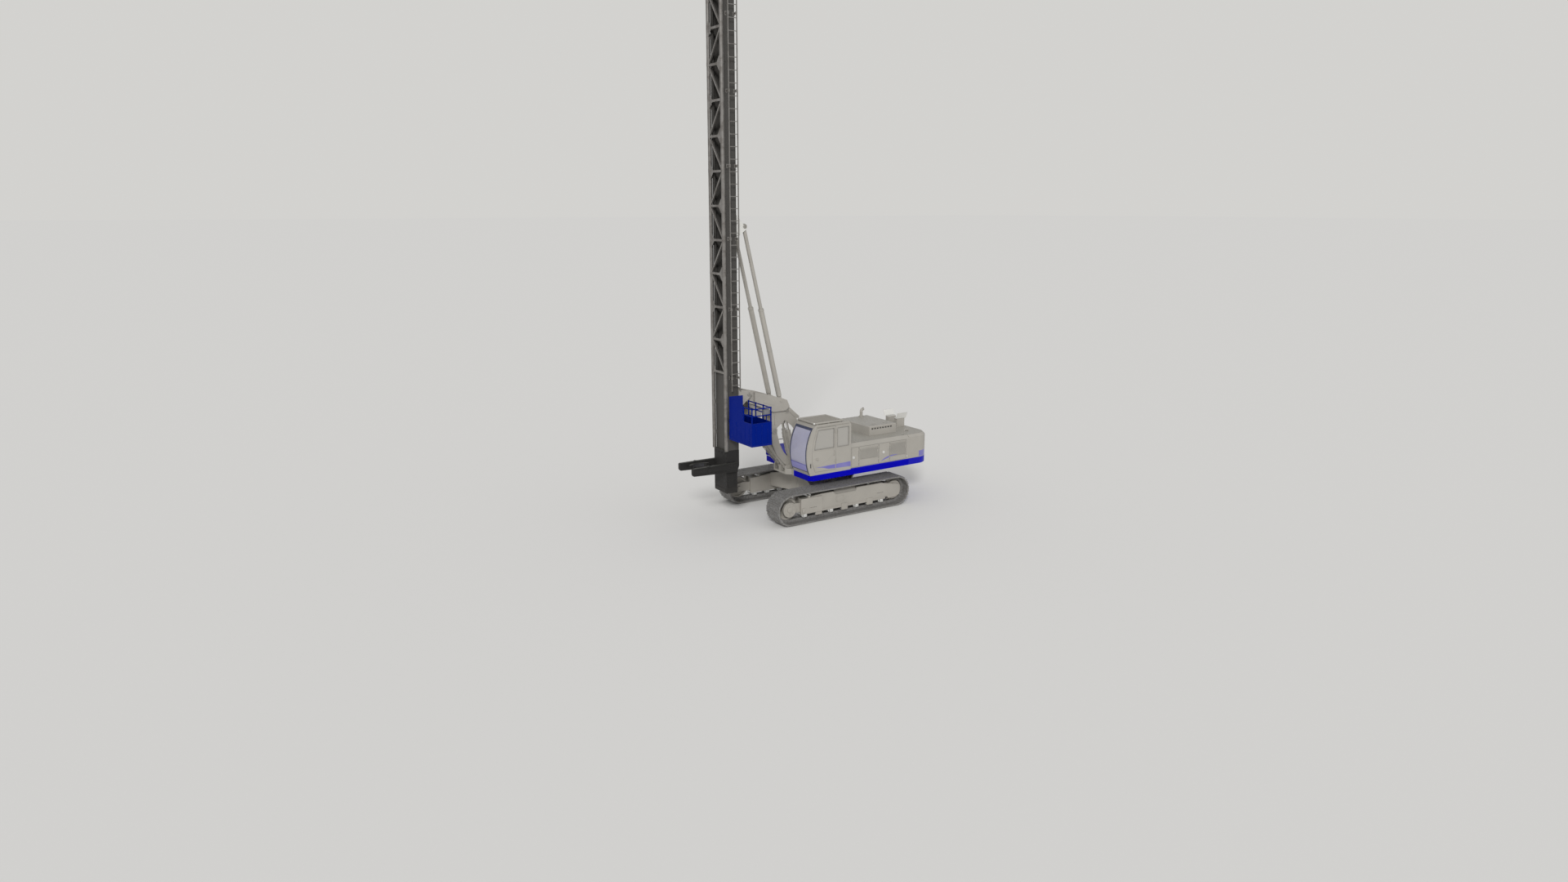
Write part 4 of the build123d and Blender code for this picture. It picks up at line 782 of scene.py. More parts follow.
def on_track(surface, distances, radius, y):
    """Copies on one track's loop: the surface's X along the loop, its Z outwards."""
    places, turn = along_loop(distances, radius)
    side = basis(-Y, X)
    return copies(surface, in_plane(places, 1, y), side @ spin(turn) @ side)


class RIG_OT_track_chains(bpy.types.Operator):
    """Adds link straps, pin bosses, bushings and shoe bolts to both tracks."""
    bl_idname = "rig.track_chains"
    bl_label = "Track chains"

    def execute(self, context):
        pitch = LOOP_LENGTH / SHOE_COUNT
        joints = np.arange(SHOE_COUNT) * pitch
        shoes = joints + pitch / 2
        boss = lathe([(0.0, 0.034), (0.006, 0.034), (0.009, 0.030), (0.009, 0.018), (0.005, 0.016)], 12)
        bushing = placed(lathe([(-0.038, 0.019), (0.038, 0.019)], 10), ORIGIN, Y, X)
        strap_line = [[-0.070, -0.030], [-0.040, -0.040], [0.040, -0.040], [0.070, -0.030],
                      [0.070, 0.024], [0.045, 0.036], [-0.045, 0.036], [-0.070, 0.024]]
        half = 0.003
        strap = slab(strap_line, -half, half, 0.001)
        head = bolt(0.022)
        for middle, label in ((TRACK_Y, "left"), (-TRACK_Y, "right")):
            parts = [on_track(bushing, joints, PITCH_RADIUS, middle)]
            for side in (1, -1):
                face = middle + side * RAIL_FACE
                parts += [on_track(placed(boss, ORIGIN, -side * Y, X), joints, PITCH_RADIUS, face),
                          on_track(strap, shoes, PITCH_RADIUS, face + side * half)]
            fitting("chain_links_" + label, join(*parts), "track_manganese_steel", "undercarriage")
            heads = [
                on_track(head, shoes + along, SHOE_FACE_RADIUS, middle + across)
                for along in (-0.0344, 0.0344) for across in (-0.065, 0.065)]
            fitting("shoe_bolts_" + label, join(*heads), "track_manganese_steel", "undercarriage")
        return {"FINISHED"}


class RIG_OT_wheel_covers(bpy.types.Operator):
    """Adds rims, plugs and bolt circles to the idler, final drive and roller faces."""
    bl_idname = "rig.wheel_covers"
    bl_label = "Wheel covers"

    def execute(self, context):
        head = 0.8 * context.scene.rig_sizes.bolt
        idler = np.array([IDLER[0], TRACK_Y + 0.235, AXLE_Z])
        drive = np.array([SPROCKET[0], TRACK_Y + 0.130, AXLE_Z])
        drive_cap = drive + 0.034 * Y
        rim = lathe([(-0.001, 0.232), (0.010, 0.228), (0.012, 0.222), (0.012, 0.206), (0.009, 0.202),
                     (-0.001, 0.200)], 40, hole=True)
        cap = lathe([(0.0, 0.090), (0.016, 0.088), (0.022, 0.078), (0.025, 0.0500), (0.026, 0.012)], 32)
        hub = lathe([(0.0, 0.112), (0.012, 0.108), (0.015, 0.095), (0.016, 0.020)], 32)
        plug = lathe([(0.0, 0.020), (0.010, 0.020), (0.012, 0.017)], 12)
        plug_places = [idler - 0.110 * Z, drive_cap + 0.200 * Z, drive_cap - 0.200 * Z]
        parts = join(
            placed(rim, idler, Y), placed(cap, idler, Y), bolt_circle(idler, Y, 0.158, 8, head),
            bolt_circle(drive, Y, 0.262, 20, head), placed(hub, drive_cap, Y),
            bolt_circle(drive_cap, Y, 0.175, 10, head), placed(plug, plug_places, Y))
        fitting("wheel_covers", both_sides(parts), "body_enamel", "undercarriage")

        # Roller caps, and flared flanges that are bright where the chain rubs them
        cap = lathe([(0.0, 0.036), (0.003, 0.036), (0.0045, 0.032), (0.0045, 0.010)], 16)
        flare = lathe([(0.0, 0.096), (0.008, 0.099), (0.014, 0.099), (0.020, 0.072), (0.020, 0.040)], 24)
        places = grid_places(ROLLER_XS, (ROLLER_END_Y,), (ROLLER_Z,))
        caps = join(placed(cap, places, Y), placed(flare, places - 0.078 * Y, Y))
        fitting("roller_caps", both_sides(caps), "roller_steel", "undercarriage")
        return {"FINISHED"}


class RIG_OT_side_frames(bpy.types.Operator):
    """Adds slots, covers, tread plate, brackets and welds to the side frames."""
    bl_idname = "rig.side_frames"
    bl_label = "Side frames"

    def execute(self, context):
        bead = context.scene.rig_sizes.weld
        face, block = SIDE_FRAME_FACE, FRONT_BLOCK_FACE
        # Rows of small drain slots low on the front block and behind the step, drawn as dark pads of painted
        # shade
        slot_rows = ((1.32, block, 0.455), (-1.35, face, 0.500))
        places = [(start - 0.055 * number, y, z) for start, y, z in slot_rows for number in range(5)]
        slots = side_pad(places, 0.034, 0.012, 0.003, 0.006, 0.001)
        fitting("drain_slots", both_sides(slots), "glass_rubber", "undercarriage")

        cover = side_pad((0.150, face, 0.560), 0.300, 0.190, 0.008, 0.030)
        cover_bolts = bolts(grid_places((0.030, 0.270), (face + 0.008,), (0.490, 0.630)), Y, 0.020)
        lug = side_pad((1.560, block, 0.400), 0.110, 0.150, 0.030, 0.040, 0.006)
        stop_line = [[1.30, 0.775], [1.38, 0.775], [1.36, 0.850], [1.32, 0.850]]
        stop = slab(stop_line, TRACK_Y + 0.140, block - 0.010, 0.004)
        edge = weld(in_plane([(0.86, 0.290), (0.86, 0.745)], 1, block - 0.004), Y, bead)
        seam = weld(in_plane([(0.840, 0.345), (-1.740, 0.345)], 1, face), Y, bead)
        upper_line = [(0.835, 0.818), (0.410, 0.818), (0.325, 0.718), (-0.475, 0.718), (-0.515, 0.815),
                      (-1.460, 0.808)]
        upper = weld(in_plane(upper_line, 1, face), Y, 0.8 * bead)
        parts = join(cover, cover_bolts, lug, stop, edge, seam, upper)
        fitting("side_frame_fittings", both_sides(parts), "body_enamel", "undercarriage")

        # Tread plate that slopes from the step's edge up to the chain, with raised lozenges
        # that lie in alternating directions
        lozenge = scaled(lathe([(0.0, 1.0), (0.002, 0.75), (0.003, 0.25)], 6), (0.016, 0.005, 1.0))
        foot = np.array([0.0, face - 0.002, STEP_FOOT_Z])
        top = np.array([0.0, TRACK_Y + 0.108, STEP_TOP_Z])
        down = unit(foot - top)
        slope = np.column_stack([X, down, np.cross(X, down)])
        sheet = 0.006 * slope[:, 2]
        profile = np.array([foot, top, top - sheet, foot - sheet])[:, 1:]
        plate = sweep(profile, [(-0.485, 0.0, 0.0), (0.340, 0.0, 0.0)], Z)
        rows = np.array([foot + share * (top - foot) for share in (0.14, 0.38, 0.62, 0.86)])
        along = np.arange(-0.450, 0.310, 0.038)
        column, row = np.indices((len(along), len(rows))).reshape(2, -1)
        angle = np.where((column + row) % 2, pi / 4, -pi / 4)
        places = np.outer(along[column], X) + rows[row]
        tread = join(plate, copies(lozenge, places, slope @ spin(angle)))
        # The tread plate's enamel is darkened as painted shade of the recess
        fitting("step_tread", both_sides(tread), "panel_enamel", "undercarriage")
        return {"FINISHED"}


def circle_through(points):
    """Centre and radius of the circle through three points, where the bisectors of two chords meet."""
    first, second, third = points
    chords = 2 * np.array([second - first, third - first])
    squares = np.array([second @ second - first @ first, third @ third - first @ first])
    centre = np.linalg.solve(chords, squares)
    return centre, np.linalg.norm(first - centre)


CAB_CENTRE, CAB_RADIUS = circle_through(CAB_FRONT_POINTS)


def arc_band(z_span, y_span, inner, outer, count=24):
    """Band that follows the circle of the cab's front, between two depths behind its face."""
    z = np.linspace(*z_span, count)
    x = CAB_CENTRE[0] + np.sqrt(CAB_RADIUS ** 2 - (z - CAB_CENTRE[1]) ** 2)
    y_low, y_high = y_span
    profile = [(inner, y_low), (outer, y_low), (outer, y_high), (inner, y_high)]
    return sweep(profile, in_plane(np.column_stack([x, z]), 1, 0.0), Y)


def lamp(radius, depth):
    """Round work lamp's housing: a turned bowl with a rolled rim, its light leaving along Z."""
    return lathe([(-depth, radius * 0.35), (-depth * 0.9, radius * 0.6), (-depth * 0.4, radius * 0.95),
                  (0.0, radius), (0.006, radius), (0.009, radius * 0.94)])


def lens(radius):
    """Shallow dome over a lamp."""
    return lathe([(0.0, radius * 0.98), (0.010, radius * 0.92), (0.014, radius * 0.6), (0.016, radius * 0.1)])


class RIG_OT_hood_fittings(bpy.types.Operator):
    """Adds slats, seams, hinges, latches, caps and lifting eyes to the engine housing."""
    bl_idname = "rig.hood_fittings"
    bl_label = "Hood fittings"

    def execute(self, context):
        size = context.scene.rig_sizes.bolt
        panels = (((-1.440, -0.710), (1.670, 2.030)), ((-2.600, -1.950), (1.610, 2.070)))
        slat = [(-0.001, -0.010), (0.006, -0.014), (0.007, -0.011), (-0.001, 0.010)]
        slats, rims = [], []
        for x_span, z_span in panels:
            rows = np.arange(z_span[0] + 0.030, z_span[1] - 0.020, 0.032)
            ends = np.array(x_span) + (0.012, -0.012)
            blade = sweep(slat, [(x, SIDE - 0.0080, 0.0) for x in ends], Z)
            slats.append(copies(blade, np.outer(rows, Z)))
            rims.append(sweep(strip(0.016, 0.004), round_frame(x_span, z_span, SIDE, 0.015), Y, True))
        # The slats' enamel is darkened as painted shade between them
        fitting("panel_slats", both_sides(join(*slats)), "panel_enamel", "upper")
        fitting("panel_rims", both_sides(join(*rims)), "body_enamel", "upper")

        # Doors: dark weather strips round each, two hinges and one flush latch
        doors = ((-0.665, -0.385), (-1.465, -0.685), (-1.915, -1.485), (-2.625, -1.935))
        frames = [round_frame(door, (1.455, 2.100), SIDE, 0.02) for door in doors]
        seams = [sweep(strip(0.005, 0.0012), path, Y, True) for path in frames]
        fitting("door_seams", both_sides(join(*seams)), "glass_rubber", "upper")
        barrel = lathe([(-0.035, 0.007), (-0.033, 0.009), (0.033, 0.009), (0.035, 0.007)], 12)
        hinge = join(copies(barrel, 0.009 * Y), side_pad(ORIGIN, 0.060, 0.045, 0.004, 0.008, 0.001))
        hinges = copies(hinge, grid_places([door[1] - 0.002 for door in doors], (SIDE,), (1.600, 2.000)))
        button = lathe([(0.004, 0.012), (0.012, 0.012), (0.014, 0.009)], 14)
        latch = join(pad(0.040, 0.110, 0.004, 0.018, 0.0015), copies(button, 0.028 * Y))
        latches = placed(latch, grid_places([door[0] + 0.045 for door in doors], (SIDE,), (1.880,)), Y, X)
        fitting("door_hinges", both_sides(join(hinges, latches)), "body_enamel", "upper")

        # Round filler caps that shine on the left side
        cap = lathe([(0.0, 0.046), (0.004, 0.046), (0.006, 0.040), (0.016, 0.038), (0.020, 0.030),
                     (0.021, 0.008)])
        caps = placed(cap, [(-0.466, SIDE, 1.772), (-1.676, SIDE, 1.796)], Y)
        small_cap = placed(scaled(cap, 0.5), (-2.660, SIDE, 1.535), Y)
        fitting("filler_caps", join(caps, small_cap), "roller_steel", "upper")

        # Folding lifting eyes, low grab handles and the lid's bolts on top
        eye_line = [(-0.05, -0.002), (-0.045, 0.022), (0.045, 0.022), (0.05, -0.002)]
        eye = tube(route(in_plane(eye_line, 1, 0.0), 0.012), 0.008, Y)
        eyes = copies(eye, grid_places((-0.60, -2.60), (1.38, -1.38), (HOOD_TOP,)))
        grab = handle((-0.10, 0.0, -0.002), (0.10, 0.0, -0.002), 0.032 * Z, 0.02, 0.006, Y)
        grabs = copies(grab, [(-1.90, 0.70, COVER_TOP), (-2.40, 0.70, COVER_TOP), (-1.00, -1.0, HOOD_TOP)])
        bolt_places = grid_places(np.linspace(-2.63, -1.63, 7), (0.865, -0.605), (COVER_TOP,))
        lid_bolts = bolts(bolt_places, Z, 0.7 * size)
        fitting("hood_eyes", join(eyes, grabs, lid_bolts), "body_enamel", "upper")

        # Dark backs in the raised cover's louvres, painted shade behind the openings, and the louvres' blades
        corner = high("raised_cover")
        louvres = np.outer(corner[0] - 0.130 - 0.110 * np.arange(8), X)
        back = side_pad((0.0, corner[1] - 0.0255, COVER_TOP - 0.080), 0.074, 0.058, 0.001, 0.001, 0.0)
        fitting("louvre_backs", copies(back, louvres), "glass_rubber", "upper")
        blade_line = [(-0.001, 0.004), (0.022, -0.006), (0.023, -0.003), (-0.001, 0.010)]
        blade = sweep(blade_line, [(x, corner[1] - 0.018, COVER_TOP - 0.062) for x in (-0.036, 0.036)], Z)
        fitting("louvre_blades", copies(blade, louvres), "body_enamel", "upper")

        # Flanges under the stacks and the exhaust pipe
        base = in_plane(rounded_rectangle(0.330, 0.140, 0.002, 2), 2, HOOD_TOP)
        foot = sweep([(-0.030, -0.001), (0.001, -0.001), (0.001, 0.014), (-0.030, 0.010)], base, Z, True)
        feet = copies(foot, [(-3.380, 0.250, 0.0), (-3.380, -0.210, 0.0)])
        pipe = np.array([-2.366, -0.563, COVER_TOP])
        collar = lathe([(0.0, 0.095), (0.010, 0.095), (0.012, 0.060), (0.050, 0.057), (0.050, 0.0495),
                        (0.0, 0.0495)], 32, hole=True)
        pipe_bolts = bolt_circle(pipe + 0.010 * Z, Z, 0.077, 6, 0.016)
        fitting("stack_flanges", join(feet, copies(collar, pipe), pipe_bolts), "body_enamel", "upper")
        return {"FINISHED"}


class RIG_OT_stripes(bpy.types.Operator):
    """Lays the violet film stripes on cab and hood, and a violet painted reflection round the counterweight's
    corner.
    """
    bl_idname = "rig.stripes"
    bl_label = "Film stripes"

    def execute(self, context):
        thick = 0.0009
        # Cab wedge: a point near the front pillar that widens towards the rear, cut at the door's edge
        front, rear = DOOR_REAR + 0.014, DOOR_REAR - 0.014
        door_part = [[1.000, 1.648], [0.760, 1.621], [0.508, 1.548], [front, 1.534], [front, 1.666]]
        shell_part = [[rear, 1.534], [-0.350, 1.517], [-0.340, 1.680], [rear, 1.667]]
        # Hood swoosh between two curves that meet at both ends
        start, end = np.array([-1.549, 1.484]), np.array([-2.300, 1.652])
        upper = quadratic(start, (-1.800, 1.700), end, 12)
        lower = quadratic(start, (-1.880, 1.620), end, 12)
        swoosh = np.concatenate([upper, lower[-2:0:-1]])
        for name, outline, body in (
                ("door", door_part, "cab_door"), ("cab", shell_part, "upper"), ("hood", swoosh, "upper")):
            fitting("stripe_" + name, slab(outline, SIDE, SIDE + thick), "stripe_film", body)
        # Painted reflection: a violet patch round the counterweight's rear corner
        angle = np.linspace(0.0, radians(78.0), 16)
        arc = WEIGHT_CORNER * np.column_stack([-np.sin(angle), np.cos(angle)])
        centre = (WEIGHT_REAR + WEIGHT_CORNER, SIDE - WEIGHT_CORNER)
        profile = [(-thick, -0.095), (0.0005, -0.095), (0.0005, 0.095), (-thick, 0.095)]
        patch = sweep(profile, in_plane(arc + centre, 2, 1.555), Z)
        fitting("stripe_weight", patch, "stripe_film", "upper")
        return {"FINISHED"}


class RIG_OT_weight_fittings(bpy.types.Operator):
    """Adds lamps, lifting eyes, a hatch seam and bolts to the counterweight and right housing."""
    bl_idname = "rig.weight_fittings"
    bl_label = "Counterweight fittings"

    def execute(self, context):
        tail = np.array([WEIGHT_REAR, 0.860, 1.640])
        bowls = both_sides(placed(lamp(0.060, 0.012), tail, -X))
        fitting("tail_lamp_bowls", bowls, "glass_rubber", "upper")
        lenses = both_sides(placed(lens(0.054), tail - 0.008 * X, -X))
        fitting("tail_lamp_lenses", lenses, "red_lens", "upper")
        hatch = in_plane(rounded_rectangle(1.10, 0.46, 0.05, 5) + (0.0, 1.86), 0, WEIGHT_REAR)
        seam = sweep(strip(0.008, 0.003), hatch, -X, True)
        eye_line = [(-0.085, -0.01), (-0.075, 0.05), (0.075, 0.05), (0.085, -0.01)]
        eye = tube(route(in_plane(eye_line, 1, 0.0), 0.03, 8), 0.020, Y, 12)
        eyes = copies(eye, grid_places((-3.08,), (0.98, -0.98), (HOOD_TOP - 0.005,)))
        bolt_places = grid_places((WEIGHT_REAR,), np.linspace(-0.90, 0.90, 5), (1.325,))
        plate_bolts = bolts(bolt_places, -X, 1.3 * context.scene.rig_sizes.bolt)
        fitting("weight_fittings", join(seam, eyes, plate_bolts), "body_enamel", "upper")

        # Right housing: blue front with a white edge, a pale inner panel and a work lamp
        front = HOUSING_FRONT
        liner = placed(pad(0.981, 0.206, 0.004, 0.01, 0.001), (front - 0.0215, -0.9475, 1.565), X, Y)
        face_path = in_plane(rounded_rectangle(1.110, 0.285, 0.03) + (-0.978, 1.565), 0, front)
        rim_line = [(-0.010, -0.0005), (0.036, -0.0005), (0.036, 0.002), (-0.010, 0.002)]
        rim = sweep(rim_line, face_path, X, True)
        panel = placed(pad(0.420, 0.140, 0.005, 0.02, 0.002), (front - 0.0175, -1.020, 1.560), X, Y)
        bowl = placed(lamp(0.060, 0.040), (front + 0.030, -0.640, 1.560), X)
        glass = placed(lens(0.056), (front + 0.038, -0.640, 1.560), X)
        cap = lathe([(0.0, 0.070), (0.010, 0.070), (0.014, 0.060), (0.035, 0.056), (0.040, 0.045),
                     (0.041, 0.01)], 28)
        rail = handle((0.70, -1.47, 1.728), (-0.20, -1.47, 1.728), 0.172 * Z, 0.08, 0.014, Y)
        for name, surface, finish in (
                ("housing_front", join(liner, rim), "deck_enamel"),
                ("housing_edge", sweep(strip(0.018, 0.006), face_path, X, True), "white_enamel"),
                ("housing_panel", panel, "stripe_film"),
                ("housing_lamp", bowl, "white_enamel"),
                ("housing_lens", glass, "clear_lens"),
                ("housing_top", join(copies(cap, (0.30, -0.90, 1.730)), rail), "body_enamel")):
            fitting(name, surface, finish, "upper")
        return {"FINISHED"}


class RIG_OT_cab_trim(bpy.types.Operator):
    """Adds rubber, a painted shadow under the brow, dividers, door fittings and rails to the cab."""
    bl_idname = "rig.cab_trim"
    bl_label = "Cab trim"

    def execute(self, context):
        left, right = SIDE - 0.075, CAB_INNER + 0.075
        # Dark pillar strips beside the windscreen and bars above, below and across it. The bar
        # above reaches 80 mm down over the glass as the brow's painted shadow
        bands = [arc_band((CAB_BASE + 0.030, CAB_ROOF - 0.075), (y - 0.024, y + 0.024), 0.0005, -0.004)
                 for y in (left + 0.010, right - 0.010)]
        bars = ((GLASS_LOW - 0.016, GLASS_LOW + 0.016), (GLASS_HIGH - 0.080, GLASS_HIGH + 0.016))
        bands += [arc_band(span, (right, left), 0.0005, -0.004, 4) for span in bars]
        fitting("screen_rubber", join(*bands), "pillar_rubber", "upper")
        between = (right + 0.015, left - 0.015)
        divider = arc_band((GLASS_SPLIT, GLASS_SPLIT + 0.024), between, 0.0060, -0.002, 4)
        fitting("screen_divider", divider, "stripe_film", "upper")
        lower_film = arc_band((GLASS_LOW + 0.016, GLASS_SPLIT), between, 0.0062, 0.0050, 8)
        fitting("screen_lower_film", lower_film, "lower_screen_film", "upper")

        gasket = strip(context.scene.rig_sizes.gasket, 0.005)
        door_frame = sweep(gasket, in_plane(DOOR_WINDOW, 1, SIDE), Y, True)
        fitting("door_gasket", door_frame, "pale_rubber", "cab_door")
        side_path = round_frame((-0.265, 0.177), (WINDOW_LOW, WINDOW_TOP), SIDE, 0.012)
        inner_path = round_frame((-0.235, 0.945), (1.900, WINDOW_TOP), CAB_INNER, 0.012)
        rear_path = in_plane(rounded_rectangle(0.780, 0.470, 0.012) + (1.05, 2.565), 0, CAB_REAR)
        gaskets = [sweep(gasket, path, up, True)
                   for path, up in ((side_path, Y), (inner_path, -Y), (rear_path, -X))]
        fitting("cab_gaskets", join(*gaskets), "pale_rubber", "upper")

        # Door: pressed waist line and crease, lever cup, lock and grip
        waist = sweep(strip(0.014, 0.003), in_plane([[0.300, 2.172], [1.085, 2.172]], 1, SIDE), Y)
        crease_line = [[0.330, 1.990], [0.400, 1.945], [0.660, 1.765], [1.060, 1.655]]
        crease = sweep(strip(0.016, 0.003), in_plane(crease_line, 1, SIDE), Y)
        cup = side_pad((0.952, SIDE, 1.918), 0.150, 0.085, 0.003, 0.030, 0.001)
        barrel = lathe([(0.0, 0.016), (0.006, 0.016), (0.008, 0.012), (0.008, 0.003)], 16)
        lock = placed(barrel, (0.915, SIDE + 0.001, 1.850), Y)
        root = SIDE - 0.001
        grip = handle((0.300, root, 1.960), (0.300, root, 2.120), 0.027 * Y, 0.018, 0.008, X)
        fitting("door_fittings", join(waist, crease, cup, lock, grip), "body_enamel", "cab_door")

        # Recessed hand slot on the front pillar, drawn as a dark pad of painted shade, its rail, and the drip
        # rail along the roof
        slot = side_pad((1.185, SIDE, 1.730), 0.040, 0.150, 0.002, 0.020, 0.001)
        fitting("pillar_slot", slot, "glass_rubber", "upper")
        rail = handle((1.185, SIDE, 1.672), (1.185, SIDE, 1.788), 0.030 * Y, 0.02, 0.007, X)
        drip_line = in_plane([[0.960, 2.918], [0.200, 2.918], [-0.260, 2.918]], 1, SIDE)
        drip = sweep([(-0.006, -0.001), (0.006, -0.001), (0.006, 0.014), (0.0, 0.014)], drip_line, Y)
        fitting("cab_rails", join(rail, drip), "body_enamel", "upper")
        return {"FINISHED"}


class RIG_OT_roof(bpy.types.Operator):
    """Adds guard mesh, tube ends, a brow plate and a hatch to the cab's roof."""
    bl_idname = "rig.roof"
    bl_label = "Cab roof"

    def execute(self, context):
        sizes = context.scene.rig_sizes
        guard_z = CAB_ROOF + 0.045
        (x_low, x_high), ys = (-0.030, 1.020), (CAB_INNER + 0.040, SIDE - 0.040)
        wire = tube([(0.0, y, guard_z - 0.021) for y in ys], sizes.mesh_wire / 2, Z, 6)
        wires = np.outer(np.arange(x_low + sizes.mesh_pitch, x_high, sizes.mesh_pitch), X)
        fitting("guard_mesh", copies(wire, wires), "body_enamel", "upper")
        end = lathe([(-0.020, 0.0295), (0.0, 0.033), (0.008, 0.033), (0.012, 0.026), (0.012, 0.004)], 20)
        ends = placed(end, grid_places((x_high + 0.030,), ys, (guard_z,)), X)
        fitting("guard_tube_ends", ends, "white_enamel", "upper")
        # Brow: a folded sheet from the roof's front edge down to the windscreen's top
        brow_line = np.array([[0.930, 0.001], [0.999, 0.001], [1.071, -0.060], [1.094, -0.090],
                              [1.088, -0.093], [1.064, -0.064], [0.995, -0.004], [0.930, -0.003]])
        brow = slab(brow_line + (0.0, CAB_ROOF), CAB_INNER + 0.050, SIDE - 0.050)
        fitting("brow_plate", brow, "body_enamel", "upper")
        hatch = copies(pad(0.560, 0.620, 0.014, 0.07, 0.006), (0.280, 1.050, CAB_ROOF))
        fitting("roof_hatch", hatch, "body_enamel", "upper")
        return {"FINISHED"}


def plump(reach, power=0.32, rows=28, around=56):
    """Squared block: a superellipsoid whose half sizes are reach.

    The sines of latitude and longitude are raised to a small power, which squares the
    block and leaves it crowned.
    """
    latitude = np.linspace(-pi / 2 + 0.02, pi / 2 - 0.02, rows)[:, None]
    longitude = 2 * pi * np.arange(around)[None] / around

    def squared(value):
        return np.sign(value) * np.abs(value) ** power

    x = squared(np.cos(latitude)) * squared(np.cos(longitude))
    y = squared(np.cos(latitude)) * squared(np.sin(longitude))
    z = squared(np.sin(latitude)) * np.ones_like(longitude)
    return skin(np.stack([x, y, z], axis=-1) * reach)


def finished_mesh(piece):
    """New mesh with the object's modifiers applied, and its points as an array."""
    graph = bpy.context.evaluated_depsgraph_get()
    mesh = bpy.data.meshes.new_from_object(piece.evaluated_get(graph))
    points = np.empty(3 * len(mesh.vertices))
    mesh.vertices.foreach_get("co", points)
    return mesh, points.reshape(-1, 3)


def swollen(surface, channels=()):
    """The closed surface as a sewn cushion.

    It is remeshed to an even cloth, air pressure pushes every face outwards for twenty
    steps with no gravity, and no point goes further than the cap from its start. One
    subdivision follows, and a bell-shaped groove is pressed along each channel's Y value.
    """
    scene = bpy.context.scene
    soft = bare_object("swelling", surface)
    remesh = soft.modifiers.new("even_cloth", "REMESH")
    remesh.mode = "VOXEL"
    remesh.voxel_size = CUSHION_VOXEL
    even, start = finished_mesh(soft)
    soft.modifiers.clear()
    soft.data = even
    cloth = soft.modifiers.new("air", "CLOTH")
    cloth.settings.use_pressure = True
    cloth.settings.uniform_pressure_force = CUSHION_PRESSURE
    cloth.settings.effector_weights.gravity = 0.0
    for step in range(1, SWELL_STEPS + 1):
        scene.frame_set(step)
    move = finished_mesh(soft)[1] - start
    soft.modifiers.clear()
    reach = np.linalg.norm(move, axis=1, keepdims=True)
    end = start + move * np.minimum(1.0, SWELL_CAP / np.maximum(reach, 1e-9))
    even.vertices.foreach_set("co", end.ravel())
    smooth = soft.modifiers.new("smooth", "SUBSURF")
    smooth.levels = smooth.render_levels = 1
    fine, points = finished_mesh(soft)
    corners = np.empty(4 * len(fine.polygons), dtype=int)
    fine.polygons.foreach_get("vertices", corners)
    bpy.data.objects.remove(soft)
    scene.frame_set(1)
    press = sum(np.exp(-((points[:, 1] - place) / 0.010) ** 2) for place in channels)
    points[:, 2] -= CHANNEL_DEPTH * press * np.tanh(points[:, 2] / 0.03)
    return points, [corners.reshape(-1, 4)]


class RIG_OT_cab_inside(bpy.types.Operator):
    """Replaces the plain seat by sewn cushions on a pedestal, and adds levers, pedals and a screen."""
    bl_idname = "rig.cab_inside"
    bl_label = "Cab inside"

    def execute(self, context):
        lean = basis((-0.9902, 0.0, -0.1395), (-0.1395, 0.0, 0.9902))
        seat_place = np.array([0.290, CAB_MIDDLE, CAB_FLOOR])
        for name, block, channels, place, turn in (
                ("seat_base", plump((0.226, 0.232, 0.056)), (-0.12, 0.12), (0.290, 0.395), np.eye(3)),
                ("seat_back", plump((0.336, 0.222, 0.051)), (-0.11, 0.11), (0.050, 0.800), lean),
                ("seat_headrest", plump((0.082, 0.132, 0.042), 0.40), (), (-0.008, 1.080), lean)):
            cushion = copies(swollen(block, channels), (place[0], CAB_MIDDLE, CAB_FLOOR + place[1]), turn)
            fitting(name, cushion, "seat_weave", "upper", sharp=60.0)
        folds = [(0.030 * number, 0.150 if number % 2 else 0.170) for number in range(9)]
        bellows = lathe(folds + [(0.300, 0.165), (0.330, 0.165)])
        pedestal = fitting("seat_pedestal", copies(bellows, seat_place), "console_plastic", "upper")
        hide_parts("cab_seat")

        stick = lathe([(0.0, 0.030), (0.020, 0.022), (0.040, 0.012), (0.110, 0.012), (0.120, 0.020),
                       (0.190, 0.024), (0.215, 0.020), (0.222, 0.008)], 14)
        stick_ys = (CAB_MIDDLE - 0.335, CAB_MIDDLE + 0.335)
        sticks = copies(stick, grid_places((0.540,), stick_ys, (CAB_FLOOR + 0.560,)))
        screen_y = CAB_INNER + 0.190
        screen_place = (0.950, screen_y, CAB_FLOOR + 0.800)
        screen = placed(pad(0.240, 0.160, 0.022, 0.014, 0.004), screen_place, (-0.9, 0.0, 0.3), Y)
        stalk = tube([(0.965, screen_y, CAB_FLOOR + rise) for rise in (0.0, 0.790)], 0.015, X)
        pedal_places = grid_places((0.900,), (CAB_MIDDLE - 0.11, CAB_MIDDLE + 0.11), (CAB_FLOOR + 0.090,))
        pedals = placed(pad(0.080, 0.200, 0.010, 0.012, 0.003), pedal_places, (-0.35, 0.0, 0.94), Y)
        lever_line = route(in_plane([(0.930, 0.03), (0.900, 0.30), (0.820, 0.50)], 1, 0.0), 0.06)
        lever_places = grid_places((0.0,), (CAB_MIDDLE - 0.07, CAB_MIDDLE + 0.07), (CAB_FLOOR,))
        levers = copies(tube(lever_line, 0.010, Y), lever_places)
        mat = copies(pad(0.960, 0.860, 0.008, 0.05, 0.002), (0.420, CAB_MIDDLE, CAB_FLOOR))
        controls = join(sticks, screen, stalk, pedals, levers, mat)
        fitting("cab_controls", controls, "console_plastic", "upper")
        return {"FINISHED"}


